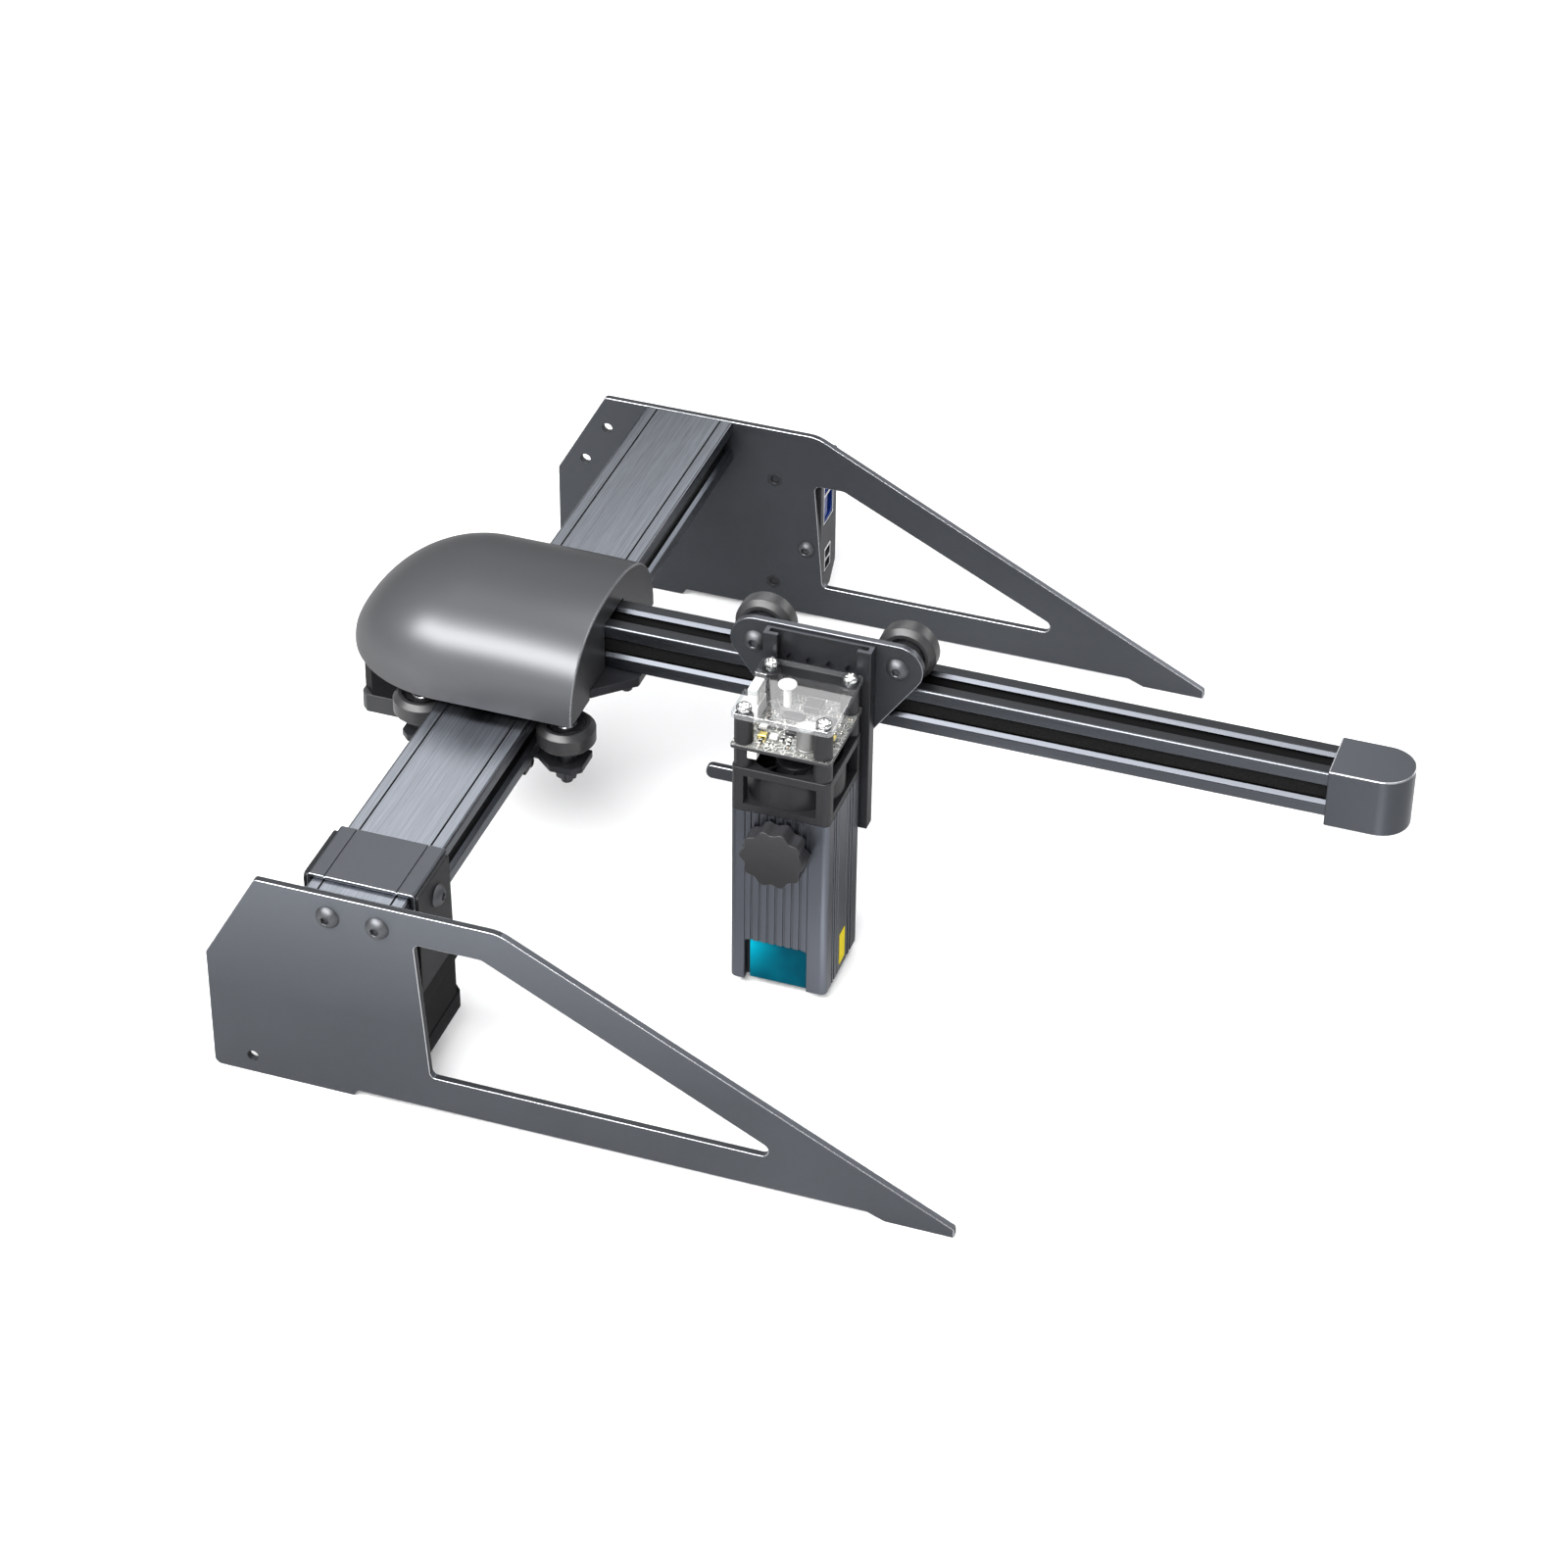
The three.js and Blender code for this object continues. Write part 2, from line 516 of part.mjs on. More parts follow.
// ---------------------------------------------------------------- Y carriage
// follows the inside of the cover, with a chamfered tab under the arm
function carriagePlate() {
  const length = COVER.roundLength - 5;
  const width = COVER.halfWidth - 3;
  const y0 = COVER.midY - width;
  const y1 = COVER.midY + width;
  const roundEnd = arc(0, 0, 1, Math.PI / 2, Math.PI, 18)
    .map(([x, y]) => [COVER.roundX + length * x, COVER.midY + width * y]);
  const tab = [
    [56.5, 147], [59, 147], [62, 150], [74, 161.25],
    [74, 186.25], [62, 197.5], [59, 200.5], [56.5, 200.5],
  ];
  const axleHoles = RAIL_WHEELS_X.flatMap(x => RAIL_WHEELS_Y.map(y => circle(x, y, AXLE_HOLE, 10)));
  return prismZ(
    [...roundEnd, [56.5, y0], ...tab, [56.5, y1]],
    CARRIAGE_PLATE.z0, CARRIAGE_PLATE.z1,
    [circle(...X_PULLEY, MOTOR_HOLE, 24), ...axleHoles],
  );
}
add(carriage, 'carriage_plate', carriagePlate(), darkMetal);

function wheel() {
  const { radius, bevel, bore } = WHEEL;
  const side = WHEEL.width / 2;
  const flat = WHEEL.flat / 2;
  return lathe([
    [bore, -side], [radius - bevel, -side], [radius, -flat],
    [radius, flat], [radius - bevel, side], [bore, side], [bore, -side],
  ], 20);
}

// bolt tip, nut, spacers either side of the wheel, and bolt head on the plate
function railAxle() {
  const { z0, z1 } = CARRIAGE_PLATE;
  const below = RAIL_Z - SPACER_START;
  const above = RAIL_Z + SPACER_START;
  return lathe([
    [0, 61.5], [AXLE_RADIUS, 61.5], [AXLE_RADIUS, 64.5], [4.5, 64.5], [4.5, BAR.z0],
    [AXLE_RADIUS, BAR.z0], [AXLE_RADIUS, BAR.z1], [SPACER_RADIUS, BAR.z1],
    [SPACER_RADIUS, below], [AXLE_RADIUS, below], [AXLE_RADIUS, above], [SPACER_RADIUS, above],
    [SPACER_RADIUS, z0], [AXLE_RADIUS, z0], [AXLE_RADIUS, z1],
    [4.75, z1], [4.6, z1 + 1.2], [3, z1 + 2.75], [0, z1 + 2.75],
  ], 10);
}
RAIL_WHEELS_X.flatMap(x => RAIL_WHEELS_Y.map(y => [x, y])).forEach(([x, y], i) => {
  add(carriage, `rail_wheel_${i + 1}`, wheel(), wheelPlastic, [x, y, RAIL_Z]);
  add(carriage, `rail_wheel_axle_${i + 1}`, railAxle(), boltSteel, [x, y, 0]);
});

// (x, y) of the near bar: a strip with a chamfered ear around each axle; the far one mirrors it
const BAR_OUTLINE = [
  [-18, 148.5], [-18, 136.5], [-14.5, 133], [-5.5, 133], [2, 139.5],
  [39, 139.5], [46.5, 133], [55.5, 133], [59, 136.5], [59, 148.5],
];
const lowerBar = (outline, y) =>
  prismZ(outline, BAR.z0, BAR.z1, RAIL_WHEELS_X.map(x => circle(x, y, AXLE_HOLE, 10)));
const mirroredBar = BAR_OUTLINE.map(([x, y]) => [x, 2 * ARM_Y - y]);
add(carriage, 'lower_bar_near', lowerBar(BAR_OUTLINE, RAIL_WHEELS_Y[0]), darkMetal);
add(carriage, 'lower_bar_far', lowerBar(mirroredBar, RAIL_WHEELS_Y[1]), darkMetal);

// hangs from the near bar and straddles the right-hand run of the Y belt
function beltClamp() {
  const x = Y_PULLEY[0] + (BELT.inner + BELT.outer) / 2;
  return prismY([
    [x - 4, BAR.z0], [x - 4, 59.5], [x - 1.3, 59.5], [x - 1.3, 67.5],
    [x + 1.3, 67.5], [x + 1.3, 59.5], [x + 4, 59.5], [x + 4, BAR.z0],
  ], 140, 148);
}
add(carriage, 'belt_clamp', beltClamp(), darkMetal);

add(carriage, 'x_motor', stepper(X_PULLEY, 64.5, CARRIAGE_PLATE.z0), motorMetal);
const xDrive = drivePulley({
  z: ARM_Z, motorTop: CARRIAGE_PLATE.z0, hub: CARRIAGE_PLATE.z1, shaftTop: 120,
});
add(carriage, 'x_drive_pulley', xDrive, steel, [...X_PULLEY, 0]);
add(carriage, 'x_belt', belt(X_PULLEY, X_IDLER, ARM_Z), beltRubber);
add(carriage, 'x_idler_pulley', idlerPulley(ARM_Z), steel, [...X_IDLER, 0]);

// slips over the arm, round at its outer end, and holds the idler on its pin
function armEndCap() {
  const outer = rounded([
    [350, 161.5, 0.6], [381, 161.5, 12], [381, 185.75, 12], [350, 185.75, 0.6],
  ], 6);
  const inner = rounded([[348, 163.5], [379, 163.5, 10.2], [379, 184, 10.2], [348, 184]], 6);
  const shell = cut(prismZ(outer, 100, 125), prismZ(inner, 102.25, 122.75));
  return join(shell, cylinder(...X_IDLER, 2.5, 101.5, 123.5, 16));
}
add(carriage, 'arm_end_cap', armEndCap(), anodised);

// ---------------------------------------------------------------- laser carriage
const CHANNEL = { x0: 128, x1: 172, y0: 153.5, y1: 159.75, z0: 58.5, z1: 142, wall: 2, lip: 6 };
const WHEEL_PLATE = { y0: CHANNEL.y1, y1: CHANNEL.y1 + 3, x: 151.75, lobe: 10.25 };
const ARM_WHEELS = [ // (x, z): top left, top right, bottom
  [WHEEL_PLATE.x - 29, ARM.z1 + WHEEL.gap],
  [WHEEL_PLATE.x + 29, ARM.z1 + WHEEL.gap],
  [WHEEL_PLATE.x, ARM.z0 - WHEEL.gap],
];

// rounded triangle around the three wheel axes, with a boss into the front slot of the arm
function wheelPlate() {
  const { x, y0, y1, lobe } = WHEEL_PLATE;
  const corners = [...ARM_WHEELS].reverse();
  const normal = (from, to) => Math.atan2(from[0] - to[0], to[1] - from[1]);
  const outline = corners.flatMap((corner, i) => {
    const start = normal(corners.at(i - 1), corner);
    let end = normal(corner, corners[(i + 1) % 3]);
    if (end < start) end += 2 * Math.PI;
    return arc(...corner, lobe, start, end - start, 8);
  });
  const holes = ARM_WHEELS.map(axis => circle(...axis, AXLE_HOLE, 10));
  const boss = box(x - 6, x + 6, y1 - 1, 165.6, ARM_Z - 2.5, ARM_Z + 2.5);
  return join(prismY(outline, y0, y1, holes), boss);
}
add(laserCarriage, 'wheel_plate', wheelPlate(), darkMetal);

// upright C-channel, open to the front, with a row of holes through its back
function slideChannel() {
  const { x0, x1, y0, y1, z0, z1, wall, lip } = CHANNEL;
  const profile = [
    [x0, y0], [x0 + lip, y0], [x0 + lip, y0 + wall], [x0 + wall, y0 + wall],
    [x0 + wall, y1 - wall], [x1 - wall, y1 - wall], [x1 - wall, y0 + wall],
    [x1 - lip, y0 + wall], [x1 - lip, y0], [x1, y0], [x1, y1], [x0, y1],
  ];
  const holes = [-12, -4, 4, 12]
    .map(offset => prismY(circle((x0 + x1) / 2 + offset, 130, 1.6, 10), 157, 160));
  return cut(prismZ(profile, z0, z1), ...holes);
}
add(laserCarriage, 'slide_channel', slideChannel(), black);

// Drawn from the wheel's middle, local +Z to the front. The upper axles have a nut at the back
// and a head in front; the lower one has a head at the back.
function armAxle(isUpper) {
  const front = ARM_Y - WHEEL_PLATE.y0;
  const back = ARM_Y - WHEEL_PLATE.y1;
  const rear = isUpper
    ? [[0, -12], [AXLE_RADIUS, -12], [AXLE_RADIUS, -10.5], [4.5, -10.5], [4.5, -SPACER_START]]
    : [[0, -8.1], [3.2, -8.1], [4.6, -6.6], [4.6, -SPACER_START]];
  const middle = [
    [AXLE_RADIUS, -SPACER_START], [AXLE_RADIUS, SPACER_START],
    [SPACER_RADIUS, SPACER_START], [SPACER_RADIUS, back], [AXLE_RADIUS, back],
  ];
  const tip = isUpper
    ? [[AXLE_RADIUS, front], [4.6, front], [4.5, front + 1.2], [2.9, front + 2.7], [0, front + 2.7]]
    : [[AXLE_RADIUS, front - 0.25], [0, front - 0.25]];
  return lathe([...rear, ...middle, ...tip], 10);
}
ARM_WHEELS.forEach(([x, z], i) => {
  const place = [[x, ARM_Y, z], TO_FRONT];
  add(laserCarriage, `arm_wheel_${i + 1}`, wheel(), wheelPlastic, ...place);
  add(laserCarriage, `arm_wheel_axle_${i + 1}`, armAxle(i < 2), boltSteel, ...place);
});

// ---------------------------------------------------------------- laser body
const BODY = { x: 149.25, y: 133.25, half: 20, z0: 4, z1: 86.5, corner: 2.75 };
const [bodyX0, bodyX1] = [BODY.x - BODY.half, BODY.x + BODY.half];
const [bodyY0, bodyY1] = [BODY.y - BODY.half, BODY.y + BODY.half];
const OPENING = { x0: 135.4, x1: 161.1, z1: 24 };    // at the bottom of the front
const KNOB_Z = 72.25;
// grooves along the body, as (centre, width, depth): x on the front, y on the two sides
const FRONT_GROOVES = [
  [OPENING.x0, 0.35, 0.4],
  ...[0, 1, 2, 3, 4, 5, 6].map(k => [138.3 + 3.32 * k, 1.15, 0.5]),
  [OPENING.x1, 0.35, 0.4],
];
const SIDE_GROOVES = [
  [121.2, 1, 0.9], [123.6, 1.2, 0.9], [127.2, 0.6, 0.6],
  [136.8, 0.6, 0.6], [140.5, 1.2, 0.9], [143.8, 1.2, 0.9],
];
// (x, y) of the T-tongue at the back
const TONGUE = [
  [165, bodyY1], [165, 155.75], [169.5, 155.75], [169.5, 157.5],
  [130.5, 157.5], [130.5, 155.75], [135, 155.75], [135, bodyY1],
];

// grooves as (along, depth) points
const groovePoints = grooves => grooves.flatMap(([centre, width, depth]) => {
  const start = centre - width / 2;
  const end = centre + width / 2;
  return [[start, 0], [start, depth], [end, depth], [end, 0]];
});

function laserBody() {
  const { corner } = BODY;
  const round = (x, y, start) => arc(x, y, corner, start, Math.PI / 2, 3);
  const sides = groovePoints(SIDE_GROOVES);
  const profile = [
    ...round(bodyX0 + corner, bodyY0 + corner, Math.PI),
    ...groovePoints(FRONT_GROOVES).map(([x, depth]) => [x, bodyY0 + depth]),
    ...round(bodyX1 - corner, bodyY0 + corner, -Math.PI / 2),
    ...sides.map(([y, depth]) => [bodyX1 - depth, y]),
    ...round(bodyX1 - corner, bodyY1 - corner, 0),
    ...TONGUE,
    ...round(bodyX0 + corner, bodyY1 - corner, Math.PI / 2),
    ...[...sides].reverse().map(([y, depth]) => [bodyX0 + depth, y]),
  ];
  const { x0, x1, z1 } = OPENING;
  const opening = rounded([[x0, 0], [x1, 0], [x1, z1, 1.5], [x0, z1, 1.5]]);
  return cut(
    prismZ(profile, BODY.z0, BODY.z1),
    box(120, 180, bodyY1, 160, 0, 61),      // removes the lower part of the tongue
    box(bodyX0 + 3, bodyX1 - 3, bodyY0 + 3, bodyY1 - 3, 0, 28),
    prismY(opening, 110, bodyY0 + 4),
    cylinder(BODY.x, BODY.y, 8.25, 20, 60, 20),
    prismY(circle(BODY.x, KNOB_Z, 2.3, 12), 110, 158),
  );
}
add(laserModule, 'laser_body', laserBody(), bodyMetal);

const lensBarrel = lathe([
  [0, 59.5], [8, 59.5], [8, 20], [6.5, 16], [6.5, 12], [4, 12], [3, 18], [0, 18],
], 20);
add(laserModule, 'lens_barrel', lensBarrel, black, [BODY.x, BODY.y, 0]);

// tinted window set in the opening, just behind the front face
const shieldOutline = rounded([
  [137.4, 4.75, 0.5], [161.05, 4.75, 0.5], [161.05, 23.75, 1.4], [137.4, 23.75, 0.8],
]);
add(laserModule, 'beam_shield', prismY(shieldOutline, 114.4, 116.4), teal);

// ten-lobed knob, its screw running back through the body
function clampKnob() {
  const outline = Array.from({ length: 40 }, (_, k) => {
    const angle = 2 * Math.PI * k / 40;
    const radius = 12.55 + 0.75 * Math.cos(10 * angle);
    return [radius * Math.cos(angle), radius * Math.sin(angle)];
  });
  return join(prismZ(outline, 0.25, 9), cylinder(0, 0, 2, -39, 1, 14));
}
add(laserModule, 'clamp_knob', clampKnob(), black, [BODY.x, bodyY0, KNOB_Z], TO_FRONT);

// ---------------------------------------------------------------- fan, board and clear cover
const FAN = { z0: BODY.z1, z1: BODY.z1 + 20 };
const BOARD = { z0: FAN.z1 + 8.75, z1: FAN.z1 + 8.75 + 1.6 };
const CLEAR_COVER = { z0: BOARD.z1 + 12.15, z1: BOARD.z1 + 12.15 + 2.5 };
const TOP = { x0: BODY.x - 20.25, x1: BODY.x + 20.25, y0: BODY.y - 20.25, y1: BODY.y + 20 };
const POSTS = rectangle(BODY.x - 16, BODY.x + 16, BODY.y - 16, BODY.y + 16);
const postHoles = POSTS.map(([x, y]) => circle(x, y, 1.7, 8));

// square frame with a pocket in each side, a round duct, four struts and a motor disc
function fanFrame() {
  const { x, y } = BODY;
  const { z0, z1 } = FAN;
  const pocket = (...sides) => box(...sides, z0 + 3.5, z1 - 3.5);
  const pockets = join(
    pocket(x - 14.75, x + 14.75, bodyY0 - 1, bodyY0 + 9),
    pocket(x - 14.75, x + 14.75, bodyY1 - 9, bodyY1 + 1),
    pocket(bodyX0 - 1, bodyX0 + 9, y - 14.75, y + 14.75),
    pocket(bodyX1 - 9, bodyX1 + 1, y - 14.75, y + 14.75),
  );
  const block = prismZ(roundedRect(bodyX0, bodyX1, bodyY0, bodyY1, BODY.corner), z0, z1);
  const walls = join(cut(block, pockets), cylinder(x, y, 19.2, z0, z1, 28));
  return join(
    cut(walls, cylinder(x, y, 18, z0 - 1, z1 + 1, 28)),
    box(x - 18.6, x + 18.6, y - 1.25, y + 1.25, z0, z0 + 2),
    box(x - 1.25, x + 1.25, y - 18.6, y + 18.6, z0, z0 + 2),
    cylinder(x, y, 8.5, z0, z0 + 2.5, 20),
  );
}
add(laserModule, 'fan_frame', fanFrame(), black);

function fanRotor() {
  const count = 7;
  const blades = Array.from({ length: count }, (_, k) => clean(
    new THREE.BoxGeometry(10.5, 1.2, 9.5)
      .rotateX(0.75)
      .translate(11.4, 0, 0)
      .rotateZ(2 * Math.PI * k / count),
  ));
  return join(lathe([[0, -5], [8, -5], [8, 4.5], [7.2, 5.25], [0, 5.25]], 21), ...blades);
}
add(laserModule, 'fan_rotor', fanRotor(), black, [BODY.x, BODY.y, FAN.z0 + 10]);

const boardOutline = roundedRect(TOP.x0, TOP.x1, TOP.y0, TOP.y1, 1.2, 2);
add(laserModule, 'driver_board', prismZ(boardOutline, BOARD.z0, BOARD.z1, postHoles), board);

// clear cover with a notch in its left edge
const clearOutline = rounded([
  [TOP.x0, TOP.y0, 2], [TOP.x1, TOP.y0, 2], [TOP.x1, TOP.y1, 2], [TOP.x0, TOP.y1, 2],
  [TOP.x0, 141.5, 0.5], [TOP.x0 + 5, 141.5, 0.5], [TOP.x0 + 5, 130, 0.5], [TOP.x0, 130, 0.5],
]);
const clearCover = prismZ(clearOutline, CLEAR_COVER.z0, CLEAR_COVER.z1, postHoles);
add(laserModule, 'acrylic_cover', clearCover, clear);

// lower pillar, waist through the board, upper pillar, waist through the cover, screw head
function modulePost() {
  const pillar = 3.75;
  const waist = 1.45;
  const { z0, z1 } = CLEAR_COVER;
  return lathe([
    [0, FAN.z1], [pillar, FAN.z1], [pillar, BOARD.z0], [waist, BOARD.z0],
    [waist, BOARD.z1], [pillar, BOARD.z1], [pillar, z0], [waist, z0],
    [waist, z1], [3.1, z1], [3, z1 + 1], [1.8, z1 + 2.1], [0, z1 + 2.1],
  ], 10);
}
POSTS.forEach(([x, y], i) => {
  add(laserModule, `module_post_${i + 1}`, modulePost(), black, [x, y, 0]);
});

// short bar on the left of the body
const sideBar = rounded([[107.5, 73, 1.5], [bodyX0, 73], [bodyX0, 79.25], [107.5, 79.25, 1.5]]);
add(laserModule, 'side_bar', prismY(sideBar, 146, 149), darkMetal);

export default group;
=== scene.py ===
"""Belt-driven gantry laser engraver, +Z up.

Two side plates face along Y and are joined by one rail that runs in +Y. A carriage rides on
the rail and carries an arm that runs in +X; the laser module hangs on the arm's -Y side.
Near and far mean low and high Y, left and right mean low and high X.
Pieces are drawn in layout millimetres; the layout origin is set from the CAD rail's corner.
"""
import json
import random
from math import acos, asin, atan2, cos, hypot, pi, radians, sin, tan

import bmesh
import bpy
from mathutils import Matrix, Vector, geometry

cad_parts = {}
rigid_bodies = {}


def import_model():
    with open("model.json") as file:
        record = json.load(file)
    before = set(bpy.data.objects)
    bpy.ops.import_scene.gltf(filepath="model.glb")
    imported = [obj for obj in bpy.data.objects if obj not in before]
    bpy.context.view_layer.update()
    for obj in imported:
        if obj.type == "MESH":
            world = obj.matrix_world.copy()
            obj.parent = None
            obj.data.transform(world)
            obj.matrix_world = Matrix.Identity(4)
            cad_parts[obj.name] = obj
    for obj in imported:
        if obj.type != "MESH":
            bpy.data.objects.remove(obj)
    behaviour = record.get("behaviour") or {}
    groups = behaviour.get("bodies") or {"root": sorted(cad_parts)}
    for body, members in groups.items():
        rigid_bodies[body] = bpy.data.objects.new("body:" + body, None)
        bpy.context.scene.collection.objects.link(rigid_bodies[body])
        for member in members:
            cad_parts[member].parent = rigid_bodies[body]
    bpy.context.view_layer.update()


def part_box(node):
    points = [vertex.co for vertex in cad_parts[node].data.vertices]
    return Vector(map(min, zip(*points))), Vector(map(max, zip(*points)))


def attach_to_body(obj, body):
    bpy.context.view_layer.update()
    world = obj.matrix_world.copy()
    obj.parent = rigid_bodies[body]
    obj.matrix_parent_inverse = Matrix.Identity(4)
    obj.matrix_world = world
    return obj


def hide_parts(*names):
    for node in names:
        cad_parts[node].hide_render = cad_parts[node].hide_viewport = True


for stray in list(bpy.data.objects):
    bpy.data.objects.remove(stray)
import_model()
SCENE = bpy.context.scene

# ------------------------------------------------------------------ driving dimensions, mm
RAIL_X0, RAIL_X1 = 0.5, 40.5
RAIL_Z0, RAIL_Z1 = 75, 95
RAIL_MID_Z = (RAIL_Z0 + RAIL_Z1) / 2
RAIL_BORES = (10.5, 30.5)               # x of the bores and of the lower slots
PLATE_T = 3
FAR_Y = 366.5                           # near face of the far plate
ARM_Y0, ARM_Y1 = 163.75, 183.75
ARM_Z0, ARM_Z1 = 102.5, 122.5
ARM_Y = (ARM_Y0 + ARM_Y1) / 2
ARM_Z = (ARM_Z0 + ARM_Z1) / 2
Y_MOTOR, Y_IDLER, Y_BELT_Z = (22, 27), (22, 352), 64
X_MOTOR, X_IDLER = (-22.5, ARM_Y), (365, ARM_Y)
MOTOR_BOLT = 15.5                       # motor screws, from the shaft in x and in y
RAIL_WHEELS = [(x, y) for x in (-10, 51) for y in (140.25, 207.25)]
ARM_WHEELS = [(122.75, 133.0), (180.75, 133.0), (151.75, 92.0)]     # x, z
BORE = 2.75                             # bolt holes in the wheel carriers
MOD_X, MOD_Y, MOD_HALF = 149.25, 133.25, 20
MOD_X0, MOD_X1 = MOD_X - MOD_HALF, MOD_X + MOD_HALF
MOD_Y0, MOD_Y1 = MOD_Y - MOD_HALF, MOD_Y + MOD_HALF
POSTS = [(MOD_X + a, MOD_Y + b) for a, b in ((-16, -16), (16, -16), (16, 16), (-16, 16))]

MM = 0.001
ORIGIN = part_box("y_rail")[0] - Vector((RAIL_X0, PLATE_T, RAIL_Z0)) * MM


def metres(x, y, z):
    return Vector((x, y, z)) * MM + ORIGIN


# ------------------------------------------------------------------ shader tools
def scaled(colour, gain):
    return tuple(part * gain for part in colour)


class Shader:
    """Node tree of one material or world. Values given to its methods may be numbers or sockets."""

    def __init__(self, block, output="OutputMaterial", space="Object"):
        self.block = block
        block.use_nodes = True
        self.tree = block.node_tree
        self.tree.nodes.clear()
        self.output = self.node(output)
        self.coord = self.node("TexCoord").outputs[space]

    def feed(self, socket, value):
        if isinstance(value, bpy.types.NodeSocket):
            self.tree.links.new(value, socket)
        elif socket.type == "RGBA":
            socket.default_value = (*value[:3], 1)
        else:
            socket.default_value = value

    def node(self, kind, inputs=None, **settings):
        node = self.tree.nodes.new("ShaderNode" + kind)
        for key, value in settings.items():
            setattr(node, key, value)
        for key, value in (inputs or {}).items():
            self.feed(node.inputs[key], value)
        return node

    def mapping(self, stretch=(1, 1, 1)):
        return self.node("Mapping", {"Vector": self.coord, "Scale": stretch}).outputs["Vector"]

    def noise(self, freq, detail=3.0, rough=0.5, stretch=(1, 1, 1)):
        return self.node("TexNoise", {"Vector": self.mapping(stretch), "Scale": freq,
                                      "Detail": detail, "Roughness": rough}).outputs["Fac"]

    def ramp(self, value, to=(0, 1), over=(0.3, 0.7)):
        """Map the range `over` of a value onto the range `to`."""
        return self.node("MapRange", {"Value": value, "From Min": over[0], "From Max": over[1],
                                      "To Min": to[0], "To Max": to[1]}).outputs["Result"]

    def mix(self, factor, first, second):
        # 6, 7 and output 2 are the colour sockets
        inputs = {"Factor": factor, 6: first, 7: second}
        return self.node("Mix", inputs, data_type="RGBA").outputs[2]

    def bump(self, height, strength, distance):
        return self.node("Bump", {"Height": height, "Strength": strength,
                                  "Distance": distance}).outputs["Normal"]

    def math(self, operation, a, b=0.0, clamp=False):
        return self.node("Math", {0: a, 1: b}, operation=operation, use_clamp=clamp).outputs[0]

    def add(self, a, b, clamp=False):
        return self.math("ADD", a, b, clamp)

    def times(self, a, b, clamp=False):
        return self.math("MULTIPLY", a, b, clamp)

    def split(self, source=None):
        return self.node("SeparateXYZ", {0: source or self.coord}).outputs

    def finish(self, surface):
        self.feed(self.output.inputs[0], surface)
        return self.block

    def principled(self, **inputs):
        named = {key.replace("_", " "): value for key, value in inputs.items()}
        return self.finish(self.node("BsdfPrincipled", named).outputs[0])


def new_material(name):
    return Shader(bpy.data.materials.new(name))


def satin(name, colour, rough, metal, var=0.10, grain=0.02, grain_freq=2600.0, spec=0.5,
          rough_var=0.06, rise=None, rise_in_box=False, wear=0.0, rim=None):
    """Painted, anodised or moulded surface: slow tone drift, fine grain, uneven roughness.

    rise: (z from, z to, gain), painted light and shade upwards, in metres or 0 to 1 over the
    piece's box.
    wear: amount of faint rub marks. rim: share of the grazing reflection kept, with painted shade
    there.
    """
    tree = new_material(name)
    slow = tree.noise(freq=28.0, detail=4.0)
    fine = tree.noise(freq=grain_freq, detail=2.0)
    tone = tree.mix(tree.ramp(slow, over=(0.35, 0.65)),
                    scaled(colour, 1 - var), scaled(colour, 1 + var))
    tone = tree.mix(tree.ramp(fine, to=(0.0, 0.25)), tone, scaled(colour, 0.75))
    # painted light and shade: the tone changes with height
    if rise:
        start, end, gain = rise
        box = tree.node("TexCoord").outputs["Generated"] if rise_in_box else None
        level = tree.ramp(tree.split(box)[2], over=(start, end))
        tone = tree.mix(tree.times(level, 0.85), tone, scaled(colour, gain))
    roughness = tree.add(
        tree.ramp(slow, to=(rough - rough_var / 2, rough + rough_var / 2)),
        tree.ramp(fine, to=(-rough_var / 3, rough_var / 3)))
    if wear:
        rub = tree.noise(freq=420.0, detail=6.0, rough=0.7, stretch=(1, 1, 0.15))
        mark = tree.ramp(rub, to=(0, wear), over=(0.60, 0.72))
        tone = tree.mix(mark, tone, tuple(part * 2.2 + 0.02 for part in colour))
        roughness = tree.add(roughness, tree.times(mark, 0.1))
    more = {}
    if rim is not None:
        facing = tree.node("LayerWeight", {"Blend": 0.5}).outputs["Facing"]
        grazing = tree.ramp(facing, over=(0.25, 0.95))
        more["Specular_Tint"] = tree.mix(grazing, (1, 1, 1), (rim, rim, rim))
        # painted shade: the colour darkens where the surface is seen at a grazing angle
        tone = tree.mix(grazing, tone, scaled(colour, 0.45 + 0.55 * rim))
    return tree.principled(
        Base_Color=tone, Roughness=roughness, Metallic=metal, Specular_IOR_Level=spec,
        Normal=tree.bump(fine, strength=grain * 10, distance=0.00002),
        Coat_Roughness=0.2, **more)


